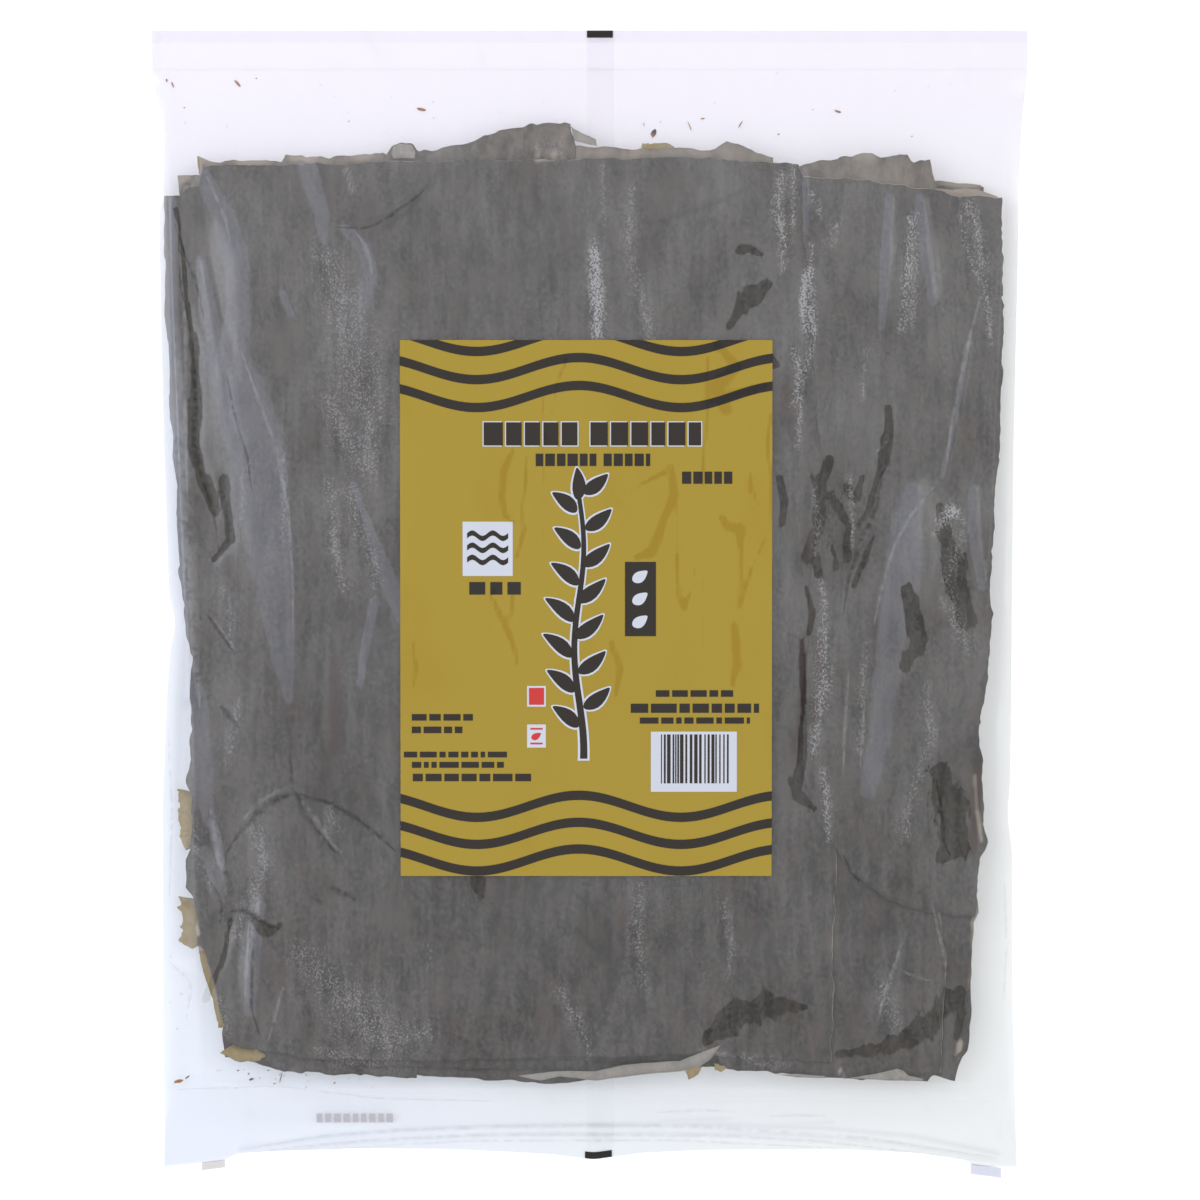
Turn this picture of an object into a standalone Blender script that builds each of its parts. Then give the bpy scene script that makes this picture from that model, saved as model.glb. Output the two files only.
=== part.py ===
# A sealed clear bag of dried kelp sheets, lying on its back with its printed side up.
# Metres, +Z up. The origin is on the table under the middle of the bag, and +Y is its top end.
# The bag is a tube of film, sealed straight across near both ends round a stack of sheets.

import math

import bmesh
import bpy

# The film
BAG_LENGTH = 0.529
FLAT_WIDTH = 0.408  # of the tube laid flat, as it is at the top seal
WAIST_WIDTH = 0.394  # across the filled part, where the stack's thickness draws the tube in
FOOT_WIDTH = 0.398  # at the lower cut end, which curls and so is a little narrower
FILM = 0.0008  # the flat ends, where two layers lie together
TOP_SEAL = 0.246  # Y of the upper seal
BOTTOM_SEAL = -0.2295  # Y of the lower seal
FLARE = 0.050  # how far below the top seal the tube reaches its filled width
ARCH = 0.0082  # how far the lower cut end is drawn up, halfway between middle and corner
MIDDLE_RISE = 0.0040  # the same at the middle, where the back seam stiffens it

# The stack of kelp
STACK_TOP = 0.206
STACK_SAG = 0.40  # how fast the top edge falls away from the middle, per metre
STACK_BOTTOM = -0.2215
STACK_HALF_TOP = 0.1945  # half width at the top edge
STACK_HALF_BOTTOM = 0.1740
STACK_SHIFT = -0.0015  # the stack lies a little towards -X
CORNER = 0.045  # radius of the shoulder round the stack, in plan
CROWN = 0.0205  # thickness at the middle
EDGE = 0.0140  # thickness at the stack's edge
LEAST_MARGIN = 0.0040  # film beyond the stack's edge, where it is tightest

# Height of the closed film beside the stack
SIDE_FOLD = 0.0045
BOTTOM_FOLD = 0.0060
SKIRT_FALL = 0.018  # length over which the skirt comes down from the lower seal to the table

# Ridges on the upper face: two ends in plan, half width and height
RIDGES = (
    ((-0.176, 0.196), (-0.136, -0.060), 0.017, 0.0016),
    ((-0.120, 0.175), (-0.096, 0.030), 0.012, 0.0008),
    ((-0.150, -0.080), (-0.168, -0.190), 0.014, 0.0014),
    ((0.176, 0.120), (0.130, 0.000), 0.010, 0.0012),
    ((0.094, 0.190), (0.110, -0.110), 0.009, -0.0014),
    ((0.112, -0.118), (0.176, -0.146), 0.008, -0.0010),
    ((0.030, -0.196), (0.095, -0.182), 0.012, 0.0009),
)

# Cells of the upper face
CELLS_ACROSS = 44
CELLS_ALONG = 54
CROWDING = 0.80  # cells are narrower near the rim, 0 for even ones and under 1


def smooth(t):
    t = min(max(t, 0.0), 1.0)
    return t * t * (3.0 - 2.0 * t)


def crowd(t):
    """Moves t, from -1 to 1, so that even steps become finer towards both ends."""
    quarter = math.pi / 2
    return math.sin(t * CROWDING * quarter) / math.sin(CROWDING * quarter)


def half_width(y):
    """Half the width of the film tube at y."""
    flared = smooth((y - TOP_SEAL + FLARE) / FLARE)
    curled = smooth((BOTTOM_SEAL - y) / (BAG_LENGTH / 2 + BOTTOM_SEAL))
    width = WAIST_WIDTH + (FLAT_WIDTH - WAIST_WIDTH) * flared
    return (width + (FOOT_WIDTH - WAIST_WIDTH) * curled) / 2


def cut_end_rise(x):
    """How far the lower cut end is drawn up at x: two shallow arches that meet at the seam."""
    out = min(abs(x) / (FOOT_WIDTH / 2), 1.0)
    return ARCH * (1 - (2 * out - 1) ** 2) + MIDDLE_RISE * (1 - out) ** 2


def stack_half_width(y):
    along = (y - STACK_BOTTOM) / (STACK_TOP - STACK_BOTTOM)
    return STACK_HALF_BOTTOM + (STACK_HALF_TOP - STACK_HALF_BOTTOM) * along


def stack_depth(x, y):
    """How far inside the stack's outline a point is, level past the shoulder round it."""
    side = stack_half_width(y) - abs(x - STACK_SHIFT)
    top = STACK_TOP - STACK_SAG * x * x - y
    end = min(top, y - STACK_BOTTOM)
    return CORNER - math.hypot(max(CORNER - side, 0.0), max(CORNER - end, 0.0))


def openness(x, y):
    """0 where the two layers of film meet, at a seal or a side fold, and 1 over the stack."""
    side_margin = half_width(y) - stack_half_width(y) + STACK_SHIFT * math.copysign(1, -x)
    across = (half_width(y) - abs(x)) / max(side_margin, LEAST_MARGIN)
    if y > 0:
        along = (TOP_SEAL - y) / (TOP_SEAL - STACK_TOP + STACK_SAG * x * x)
    else:
        along = (y - BOTTOM_SEAL) / (STACK_BOTTOM - BOTTOM_SEAL)
    return min(max(across, 0.0), 1.0) * min(max(along, 0.0), 1.0)


def fold_height(x, y):
    """Height of the closed film: at the side folds, and at the lower seal and its skirt."""
    filled = smooth((STACK_TOP - y) / FLARE) * smooth((y - BOTTOM_SEAL) / FLARE)
    skirt = smooth((y - BOTTOM_SEAL + SKIRT_FALL) / SKIRT_FALL)
    near_seal = 1 - smooth((y - BOTTOM_SEAL) / FLARE)
    corner = 1 - 0.5 * smooth((abs(x) - STACK_HALF_BOTTOM + FLARE / 2) / FLARE)
    return SIDE_FOLD * filled + BOTTOM_FOLD * skirt * near_seal * corner


def ridge_height(x, y):
    """The folds and hollows of the sheets under the film, as rounded ridges between two points."""
    total = 0.0
    for (ax, ay), (bx, by), half, height in RIDGES:
        length = math.hypot(bx - ax, by - ay)
        along = ((x - ax) * (bx - ax) + (y - ay) * (by - ay)) / length
        aside = abs((x - ax) * (by - ay) - (y - ay) * (bx - ax)) / length
        past_end = max(-along, along - length, 0.0)
        total += height * math.exp(-((math.hypot(aside, past_end) / half) ** 2))
    return total


def upper_height(x, y):
    opened = openness(x, y)
    domed = smooth(stack_depth(x, y) / CORNER)
    stack = EDGE + (CROWN - EDGE) * domed + ridge_height(x, y) * domed
    bulged = 1 - (1 - opened) ** 1.6
    return (fold_height(x, y) + FILM) * (1 - bulged) + stack * bulged


def lower_height(x, y):
    """The back lies flat on the table, and lifts to the folds and the lower seal."""
    lifted = fold_height(x, y) * (1 - smooth(openness(x, y)))
    return lifted if lifted > FILM / 8 else 0.0


def place_in_plan(u, v):
    """A point of the bag's plan from u across and v along, both from -1 to 1."""
    y = crowd(v) * BAG_LENGTH / 2
    x = crowd(u) * half_width(y)
    on_skirt = smooth((BOTTOM_SEAL - y) / (BAG_LENGTH / 2 + BOTTOM_SEAL))
    return x, y + cut_end_rise(x) * on_skirt


def film_and_kelp_material():
    material = bpy.data.materials.new("kelp_under_clear_film")
    material.use_nodes = True
    shader = material.node_tree.nodes["Principled BSDF"]
    shader.inputs["Base Color"].default_value = (0.135, 0.128, 0.122, 1.0)
    shader.inputs["Roughness"].default_value = 0.35
    shader.inputs["Metallic"].default_value = 0.0
    return material


def filled_bag():
    """The closed outer shape of the bag with the stack in it."""
    shape = bmesh.new()
    bmesh.ops.create_grid(shape, x_segments=CELLS_ACROSS, y_segments=CELLS_ALONG, size=1.0)
    upper = list(shape.verts)
    for vertex in upper:
        vertex.co.x, vertex.co.y = place_in_plan(vertex.co.x, vertex.co.y)
    extruded = bmesh.ops.extrude_face_region(shape, geom=shape.faces[:])
    lower = [item for item in extruded["geom"] if isinstance(item, bmesh.types.BMVert)]
    for vertex in upper:
        vertex.co.z = upper_height(vertex.co.x, vertex.co.y)
    for vertex in lower:
        vertex.co.z = lower_height(vertex.co.x, vertex.co.y)
    bmesh.ops.recalc_face_normals(shape, faces=shape.faces[:])
    on_table = [e for e in shape.edges if e.verts[0].co.z == 0.0 == e.verts[1].co.z]
    table_ends = list({vertex for edge in on_table for vertex in edge.verts})
    bmesh.ops.dissolve_limit(shape, angle_limit=1e-4, verts=table_ends, edges=on_table)
    bmesh.ops.triangulate(shape, faces=shape.faces[:])
    return shape


def add_object(name, shape, material, collection):
    mesh = bpy.data.meshes.new(name)
    shape.to_mesh(mesh)
    shape.free()
    mesh.shade_smooth()
    mesh.set_sharp_from_angle(angle=math.radians(50))
    mesh.materials.append(material)
    made = bpy.data.objects.new(name, mesh)
    collection.objects.link(made)
    return made


def main():
    for old in list(bpy.data.objects):
        bpy.data.objects.remove(old, do_unlink=True)
    collection = bpy.data.collections.new("bag_of_dried_kelp")
    bpy.context.scene.collection.children.link(collection)
    add_object("kelp_bag", filled_bag(), film_and_kelp_material(), collection)


main()
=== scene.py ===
import math

import bmesh
import bpy
import numpy as np
from mathutils import Matrix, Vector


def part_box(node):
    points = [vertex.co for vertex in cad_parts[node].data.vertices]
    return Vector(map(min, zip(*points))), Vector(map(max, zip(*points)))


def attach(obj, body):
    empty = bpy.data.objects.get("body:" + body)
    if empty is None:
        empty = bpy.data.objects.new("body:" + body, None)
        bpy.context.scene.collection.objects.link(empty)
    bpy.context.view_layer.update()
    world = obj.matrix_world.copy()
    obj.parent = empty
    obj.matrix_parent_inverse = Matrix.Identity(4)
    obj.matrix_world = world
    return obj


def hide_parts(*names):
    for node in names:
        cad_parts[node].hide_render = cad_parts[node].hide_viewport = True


# A clear sealed bag of dried kelp sheets, lying on its back with the printed side up.
# Shapes are worked out in millimetres and written to the meshes in metres.

mm = 0.001
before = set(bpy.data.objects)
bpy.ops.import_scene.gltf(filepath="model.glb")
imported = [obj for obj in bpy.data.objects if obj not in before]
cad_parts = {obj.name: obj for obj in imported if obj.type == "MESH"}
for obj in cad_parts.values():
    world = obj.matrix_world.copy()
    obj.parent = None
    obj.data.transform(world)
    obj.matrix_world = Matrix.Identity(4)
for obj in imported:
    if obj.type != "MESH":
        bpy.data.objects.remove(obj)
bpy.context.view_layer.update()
scene = bpy.context.scene
bagLow, bagHigh = [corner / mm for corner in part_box("kelp_bag")]
halfLength = bagHigh.y
print(f"frame loaded: bag {bagHigh.x - bagLow.x:.0f} x {bagHigh.y - bagLow.y:.0f} x {bagHigh.z:.1f} mm")


# ---- small tools

def smooth(t):
    t = np.clip(t, 0.0, 1.0)
    return t * t * (3.0 - 2.0 * t)


# an edge given by a few (place, value) points, read at t and rounded over a short blur
def edgeAt(points, t, blur=0.0):
    places, values = zip(*sorted(points))
    shifts = (-1.0, -0.5, 0.0, 0.5, 1.0) if blur else (0.0,)
    return sum(np.interp(t + blur * shift, places, values) for shift in shifts) / len(shifts)


# soft unevenness from about -1 to 1, with the wavelengths wanted across and along
def uneven(x, y, seed, across, along):
    pick = np.random.default_rng(seed)
    total = np.zeros_like(x)
    for _ in range(10):
        turn = pick.uniform(0, 2 * math.pi)
        reach = pick.uniform(0.6, 1.5) * 2 * math.pi
        total += np.sin(x * math.cos(turn) * reach / across + y * math.sin(turn) * reach / along
                        + pick.uniform(0, 2 * math.pi))
    return total / 4


# a torn edge: straight runs between seeded corners, up to size away from the line
def torn(t, seed, size, longest=8.0):
    pick = np.random.default_rng(seed)
    corners = np.cumsum(pick.uniform(0.08, 1.0, 240) * longest) - 320
    coarse = np.interp(t, corners, pick.uniform(-size, size, 240))
    fine = np.interp(t, -320 + 2.1 * np.arange(320), pick.uniform(-size, size, 320))
    return 0.75 * coarse + 0.35 * fine


# how well each point lies on strokes of (x, y, half width): 1 on the line, 0.5 at the half width
def strokeField(x, y, strokes, leastHalf=1.5):
    field = np.zeros_like(x)
    for stroke in strokes:
        for (ax, ay, aHalf), (bx, by, bHalf) in zip(stroke, stroke[1:]):
            dx, dy = bx - ax, by - ay
            part = np.clip(((x - ax) * dx + (y - ay) * dy) / (dx * dx + dy * dy), 0.0, 1.0)
            gap = np.hypot(x - ax - part * dx, y - ay - part * dy)
            half = np.maximum(aHalf + (bHalf - aHalf) * part, leastHalf)
            weight = min(1.0, max(aHalf, bHalf) / leastHalf)
            field = np.maximum(field, weight * np.clip(1.0 - gap / (2.0 * half), 0.0, 1.0))
    return field


def meshFrom(name, shape):
    mesh = bpy.data.meshes.new(name)
    shape.to_mesh(mesh)
    shape.free()
    return mesh


# the places of a shape's points, as a column each for x and y
def placesOf(shape):
    places = np.array([vertex.co[:] for vertex in shape.verts])
    return places[:, 0], places[:, 1]


# a flat grid from -1 to 1 whose points are then moved; returns its mesh and their places
def flatGrid(name, across, along):
    shape = bmesh.new()
    bmesh.ops.create_grid(shape, x_segments=across, y_segments=along, size=1.0)
    mesh = meshFrom(name, shape)
    places = np.empty(len(mesh.vertices) * 3)
    mesh.vertices.foreach_get("co", places)
    places = places.reshape(-1, 3)
    return mesh, places[:, 0].copy(), places[:, 1].copy()


def movePoints(mesh, x, y, z):
    places = np.column_stack((x, y, z)) * mm
    mesh.vertices.foreach_set("co", places.ravel())
    mesh.update()


def addValues(mesh, name, values):
    attribute = mesh.attributes.new(name, "FLOAT", "POINT")
    attribute.data.foreach_set("value", np.asarray(values, dtype=np.float32))


# makes a mesh into a finished piece of the bag
def addPiece(name, mesh, material, smoothShaded=True):
    if smoothShaded:
        mesh.shade_smooth()
    mesh.materials.append(material)
    piece = bpy.data.objects.new(name, mesh)
    scene.collection.objects.link(piece)
    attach(piece, "root")
    return piece


def thicken(piece, thickness):
    wall = piece.modifiers.new("thickness", "SOLIDIFY")
    wall.thickness = thickness * mm
    wall.offset = 0.0


# ---- node helpers

def addNode(tree, kind, inputs=None, **settings):
    node = tree.nodes.new("ShaderNode" + kind)
    for key, value in settings.items():
        setattr(node, key, value)
    for key, value in (inputs or {}).items():
        if isinstance(value, bpy.types.NodeSocket):
            tree.links.new(value, node.inputs[key])
        else:
            node.inputs[key].default_value = value
    return node


def maths(tree, operation, a, b=0.0, c=0.0):
    return addNode(tree, "Math", {0: a, 1: b, 2: c}, operation=operation).outputs[0]


def ranged(tree, value, low, high, toLow=0.0, toHigh=1.0):
    node = addNode(tree, "MapRange", {"Value": value, "From Min": low, "From Max": high,
                                      "To Min": toLow, "To Max": toHigh})
    node.interpolation_type = "SMOOTHSTEP"
    return node.outputs[0]


def mixColour(tree, share, a, b):
    node = addNode(tree, "Mix", {0: share, 6: a, 7: b}, data_type="RGBA")
    return node.outputs[2]


# noise on the bag's own coordinates, with its own number of grains a metre across and along;
# it is read at a tilt, so that its lattice doesn't line up with the sheets
def bagNoise(tree, across, along, detail, shift=None):
    place = addNode(tree, "TexCoord").outputs["Object"]
    if shift is not None:
        place = addNode(tree, "VectorMath", {0: place, 1: shift}, operation="ADD").outputs[0]
    scaled = addNode(tree, "Mapping", {"Vector": place, "Scale": (across, along, across),
                                       "Rotation": (0.5, 0.4, 0.6)}).outputs[0]
    return addNode(tree, "TexNoise", {"Vector": scaled, "Scale": 1.0, "Detail": detail,
                                      "Roughness": 0.6}).outputs[0]


# a noise brought round zero and made as strong as wanted
def swing(tree, noise, amount):
    return maths(tree, "MULTIPLY_ADD", noise, amount, -0.5 * amount)


def readValue(tree, name):
    return addNode(tree, "Attribute", attribute_name=name).outputs["Fac"]


def newMaterial(name):
    material = bpy.data.materials.new(name)
    material.use_nodes = True
    return material, material.node_tree, material.node_tree.nodes["Principled BSDF"]


# ---- the outer shape of the filled bag

film = {
    "leftEdge": ((-264.5, -198), (-250, -197.6), (-200, -198.3), (-95, -198.3), (-47, -196.4),
                 (-26, -195), (-11, -192), (2, -195.3), (70, -197.6), (130, -199), (185, -200),
                 (228, -200.5), (243, -203.6), (264.5, -204)),
    "rightEdge": ((-264.5, 199), (-233, 198), (-186, 196.6), (-117, 196.4), (-101, 194.2), (-84, 195.6),
                  (0, 196.4), (70, 197), (185, 199.6), (225, 201.5), (243, 203.8), (264.5, 204)),
    "footRise": ((-198, 0.8), (-176, 4.1), (-148, 7.3), (-111, 8.5), (-65, 8.3), (-18, 5.9), (2, 3.4),
                 (23, 6.4), (51, 7.8), (116, 8.3), (153, 6.4), (190, 1.8), (199, 0.0)),
    "backFootRise": ((-198, 0.2), (-180, 1.9), (-172, 2.7), (-168, 3.6), (-165, 6.2), (-148, 7.3),
                     (-111, 8.5), (-65, 8.3), (-18, 5.9), (2, 3.4), (23, 6.4), (51, 7.8), (116, 8.3),
                     (153, 6.4), (175, 3.2), (178, 0.6), (193, 0.0)),
    "topSeal": 246.0,
    "bottomSeal": -229.5,
    "flatEnd": 0.5,  # height of the upper layer where both lie together
    "leastMargin": 4.0,
    "sideFold": 4.5,
    "bottomFold": 6.0,
    "flare": 50.0,
    "skirtFall": 18.0,
    "offTable": 0.12,
    "foldLift": 0.05,
}

pile = {
    "top": 206.0,
    "sag": 0.0004,
    "bottom": -221.5,
    "halfTop": 194.5,
    "halfBottom": 174.0,
    "shift": -1.5,
    "corner": 45.0,
    "crown": 20.0,
    "edge": 13.8,
}


def pileHalf(y):
    part = (y - pile["bottom"]) / (pile["top"] - pile["bottom"])
    return pile["halfBottom"] + (pile["halfTop"] - pile["halfBottom"]) * part


# 0 where the two layers of film meet and 1 over the pile of sheets
def opened(x, y):
    toLeft = x - edgeAt(film["leftEdge"], y, 4.0)
    toRight = edgeAt(film["rightEdge"], y, 4.0) - x
    leftMargin = -pileHalf(y) + pile["shift"] - edgeAt(film["leftEdge"], y, 4.0)
    rightMargin = edgeAt(film["rightEdge"], y, 4.0) - pileHalf(y) - pile["shift"]
    across = np.minimum(toLeft / np.maximum(leftMargin, film["leastMargin"]),
                        toRight / np.maximum(rightMargin, film["leastMargin"]))
    upper = (film["topSeal"] - y) / (film["topSeal"] - pile["top"] + pile["sag"] * x * x)
    lower = (y - film["bottomSeal"]) / (pile["bottom"] - film["bottomSeal"])
    return np.clip(across, 0, 1) * np.clip(np.where(y > 0, upper, lower), 0, 1)


def foldHeight(x, y):
    filled = smooth((pile["top"] - y) / film["flare"])
    filled = filled * smooth((y - film["bottomSeal"]) / film["flare"])
    skirt = smooth((y - film["bottomSeal"] + film["skirtFall"]) / film["skirtFall"])
    nearSeal = 1 - smooth((y - film["bottomSeal"]) / film["flare"])
    corner = 1 - 0.5 * smooth((np.abs(x) - pile["halfBottom"] + film["flare"] / 2) / film["flare"])
    return film["sideFold"] * filled + film["bottomFold"] * skirt * nearSeal * corner


# height of the upper film before its own creases
def coverHeight(x, y):
    side = pileHalf(y) - np.abs(x - pile["shift"])
    end = np.minimum(pile["top"] - pile["sag"] * x * x - y, y - pile["bottom"])
    inCorner = [np.maximum(pile["corner"] - gap, 0) for gap in (side, end)]
    depth = pile["corner"] - np.hypot(*inCorner)
    domed = smooth(depth / pile["corner"])
    filled = pile["edge"] + (pile["crown"] - pile["edge"]) * domed
    filled = filled + domed * (0.5 * uneven(x, y, 4, 90, 260) + 0.25 * uneven(x, y, 5, 34, 120))
    bulged = 1 - (1 - opened(x, y)) ** 1.6
    return (foldHeight(x, y) + film["flatEnd"]) * (1 - bulged) + filled * bulged


# height of the lower film: flat on the table, lifting to the side folds and the lower seal
def underHeight(x, y):
    return film["offTable"] + foldHeight(x, y) * (1 - smooth(opened(x, y)))


# ---- the upper film's creases, lifts and places where it clings to the kelp

# each stroke is a line of (x, y, half width)
lifts = (
    ((-179, 195, 3.7), (-170, 178, 5.6), (-163, 156, 6.0), (-162, 125, 5.6), (-163, 93, 4.2)),
    ((-179, 156, 1.4), (-174, 125, 3.7), (-170, 101, 4.6)),
    ((-169, 115, 11), (-155, 74, 13.5), (-152, 46, 12), (-147, 18, 10), (-142, -19, 6), (-139, -47, 2)),
    ((-131, 200, 4.6), (-124, 178, 3.7), (-123, 166, 1.9)),
    ((-113, 171, 2.3), (-104, 162, 3.2), (-101, 150, 3.7), (-104, 136, 2.8)),
    ((-109, 53, 0.5), (-99, 25, 2.8), (-91, 3, 4.2), (-88, -10, 1.4)),
    ((-99, -1, 2.3), (-103, -19, 2.3), (-106, -40, 0.9)),
    ((-142, 141, 1.4), (-138, 131, 1.9)),
    ((-193, 185, 1.5), (-193, 138, 2.4), (-192, 95, 4.6), (-191, 36, 5.2), (-189, -1, 4.6),
     (-186, -45, 3.6)),
    ((-181, -42, 3.0), (-179, -75, 4.6), (-178, -95, 3.6), (-172, -112, 2.0), (-170, -125, 1.2)),
    ((175, 118, 0.9), (170, 87, 1.2), (163, 56, 1.2)),
    ((150, 48, 5.5), (147, 36, 7), (146, 16, 8.5), (139, -19, 6.5), (135, -56, 5.5), (129, -89, 3.7)),
    ((178, 50, 2.5), (178, 30, 3.0), (182, 6, 2.4)),
    ((159, 138, 2.3), (156, 157, 2.8), (153, 185, 2.3)),
    ((139, 185, 2.3), (137, 157, 2.8), (135, 125, 1.4)),
    ((100, 199, 1.4), (100, 169, 1.4)),
    ((-152, -142, 2.3), (-156, -168, 3.7), (-157, -191, 2.8)),
    ((-178, -117, 2.8), (-174, -128, 2.4), (-170, -140, 1.6)),
)

clinging = (
    ((-186, 136, 0.9), (-183.6, 120, 2.0), (-182, 103, 2.5), (-182.5, 87, 2.7), (-183, 70, 2.8),
     (-178.6, 54, 3.2), (-173, 41, 2.4)),
    ((-190.7, 180, 0.9), (-188.5, 158, 1.2), (-187.4, 138, 0.9)),
    ((171.5, -183, 0.8), (172, -192, 1.6), (170, -203, 1.0)),
    ((69, 161, 1.4), (74, 162, 2.3), (79, 159, 1.4)),
    ((64, 125, 1.4), (71, 136, 4.2), (75, 140, 4.2), (83, 145, 2.3)),
    ((100, 18, 2.3), (105, 32, 2.8), (108, 55, 2.8), (111, 64, 2.3)),
    ((133, 33, 0.9), (128, 20, 1.2), (122, 6, 0.9)),
    ((138, 88, 1.4), (139, 78, 2.3), (136, 64, 2.3), (133, 55, 1.9), (129, 41, 1.4), (124, 33, 0.9)),
    ((119, 52, 1.9), (122, 46, 1.9)),
    ((119, 29, 1.4), (119, 18, 1.9)),
    ((103, 57, 1.3), (106, 47, 2.0), (105, 40, 1.4)),
    ((112, 49, 1.4), (117, 38, 2.4), (121, 31, 1.4)),
    ((104, 29, 1.2), (104, 20, 1.8), (106, 11, 1.4)),
    ((112, 24, 1.5), (114, 14, 1.8)),
    ((126, 56, 1.2), (124, 47, 1.7)),
    ((100, 5, 1.2), (103, -8, 1.6), (101, -16, 1.2)),
    ((88, 56, 1.2), (90, 44, 1.6), (89, 34, 1.0)),
    ((93, -84, 1.6), (97, -92, 2.4), (104, -97, 1.4)),
    ((74, 108, 1.2), (80, 116, 1.6), (86, 108, 1.0)),
    ((162, 43, 1.4), (166, 25, 4.6), (171, 4, 6.5), (176, -11, 3.7)),
    ((161, -80, 4.6), (167, -93, 8.3), (171, -114, 6.5), (163, -120, 2.8)),
    ((54, -204, 2.3), (65, -195, 6.0), (81, -189, 6.0), (100, -189, 1.4)),
    ((115, -211, 1.4), (135, -208, 3.7), (151, -203, 5.6), (163, -189, 6.5), (171, -182, 2.8)),
    ((146, 4, 2.8), (153, -19, 4.6), (146, -31, 2.8)),
    ((98, -19, 1.4), (99, -47, 1.4), (98, -75, 2.3), (95, -92, 1.4)),
    ((-157, -148, 0.9), (-149, -154, 3.2), (-143, -151, 0.9)),
    ((-174, 18, 0.9), (-166, 27, 1.9), (-169, 55, 2.3)),
    ((-178, -186, 0.9), (-170, -168, 1.9), (-166, -149, 0.9)),
    ((-51, -131, 3.7), (-50, -138, 1.4)),
)

creases = (
    ((-168, -119, 0.8), (-166, -113, 0.9), (-159, -105, 0.9), (-149, -94, 0.9), (-136, -90, 1.1)),
    ((-129, -90, 0.8), (-112, -98, 0.9), (-101, -108, 0.9), (-88, -117, 0.8)),
    ((-136, -90, 1.3), (-132, -100, 1.2), (-124, -113, 1.3), (-115, -121, 0.8)),
    ((-121.5, -132.6, 1.2), (-113.5, -136.6, 1.3), (-106.4, -139.8, 0.9)),
    ((-170, -52, 0.7), (-164, -60, 0.9)),
    ((-169.5, -87, 0.8), (-161.5, -91, 0.8)),
    ((-168, 103, 0.7), (-165.5, 81, 0.9), (-158, 65, 0.7)),
    ((173, 115, 0.6), (169, 87, 0.7), (162, 54, 0.7), (147, 38, 0.7), (138, 21, 0.7)),
    ((112, -112, 0.7), (120, -125, 0.9), (138, -139, 0.9), (153, -144, 0.9), (178, -148, 0.7)),
    ((117, -130, 0.6), (118, -180, 0.6)),
    ((162, -146, 0.6), (165, -176, 0.7)),
    ((28, 173, 0.9), (51, 180, 1.2), (72, 189, 0.9)),
    ((-95, 171, 0.9), (-83, 180, 1.4), (-69, 199, 1.4)),
)

skirtRidges = (
    ((-162, -256, 1.6), (-125, -250.5, 1.6), (-88, -247, 1.6), (-40, -245, 1.6), (5, -244.5, 1.6),
     (60, -244.6, 1.6), (110, -246.5, 1.6), (150, -250, 1.6), (190, -258, 1.6)),
    ((-160, -260, 1.3), (-120, -254, 1.3), (-80, -250.8, 1.3), (-30, -249, 1.3), (30, -248.6, 1.3),
     (90, -249.4, 1.3), (140, -253, 1.3), (188, -261, 1.3)),
    ((33, -243, 1.2), (65, -242, 1.2)),
    ((93, -245, 1.2), (113, -243.6, 1.2)),
)


# fine tension wrinkles, strongest in the empty ends and weak over the sheets
def wrinkles(x, y):
    empty = 1 - opened(x, y)
    bent = x + 9 * uneven(x, y, 21, 150, 120)
    lengthwise = 1 - np.abs(np.sin(bent / 17.0 + 1.3 * uneven(x, y, 22, 200, 300)))
    slanted = 1 - np.abs(np.sin((x * 0.55 + y) / 13.0 + 1.6 * uneven(x, y, 23, 160, 160)))
    return (0.10 + 0.45 * empty) * lengthwise ** 4 + (0.08 + 0.30 * empty) * slanted ** 5


def filmTopHeight(x, y):
    toLeft = x - edgeAt(film["leftEdge"], y, 4.0)
    toRight = edgeAt(film["rightEdge"], y, 4.0) - x
    rim = smooth(np.minimum(toLeft, toRight) / 9.0)
    nearEnd = smooth((halfLength - 3 - np.abs(y)) / 12.0)
    relief = 0.8 * smooth(strokeField(x, y, lifts))
    relief = relief - 0.4 * smooth(strokeField(x, y, creases, 2.4))
    relief = relief + 1.3 * smooth(strokeField(x, y, skirtRidges, 2.4))
    relief = relief - 0.35 * smooth(strokeField(x, y, clinging, 2.0))
    return coverHeight(x, y) + rim * (relief + nearEnd * wrinkles(x, y))


# spreads a grid over the bag's plan, with finer cells near its rim
def bagPlan(u, v, foot):
    crowding = 0.72 * math.pi / 2
    u = np.sin(u * crowding) / math.sin(crowding)
    v = np.sin(v * crowding) / math.sin(crowding)
    y = v * halfLength
    left, right = edgeAt(film["leftEdge"], y, 4.0), edgeAt(film["rightEdge"], y, 4.0)
    x = left + (right - left) * (u + 1) / 2
    onSkirt = smooth((film["bottomSeal"] - y) / (halfLength + film["bottomSeal"]))
    return x, y + edgeAt(foot, x, 2.0) * onSkirt


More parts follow.
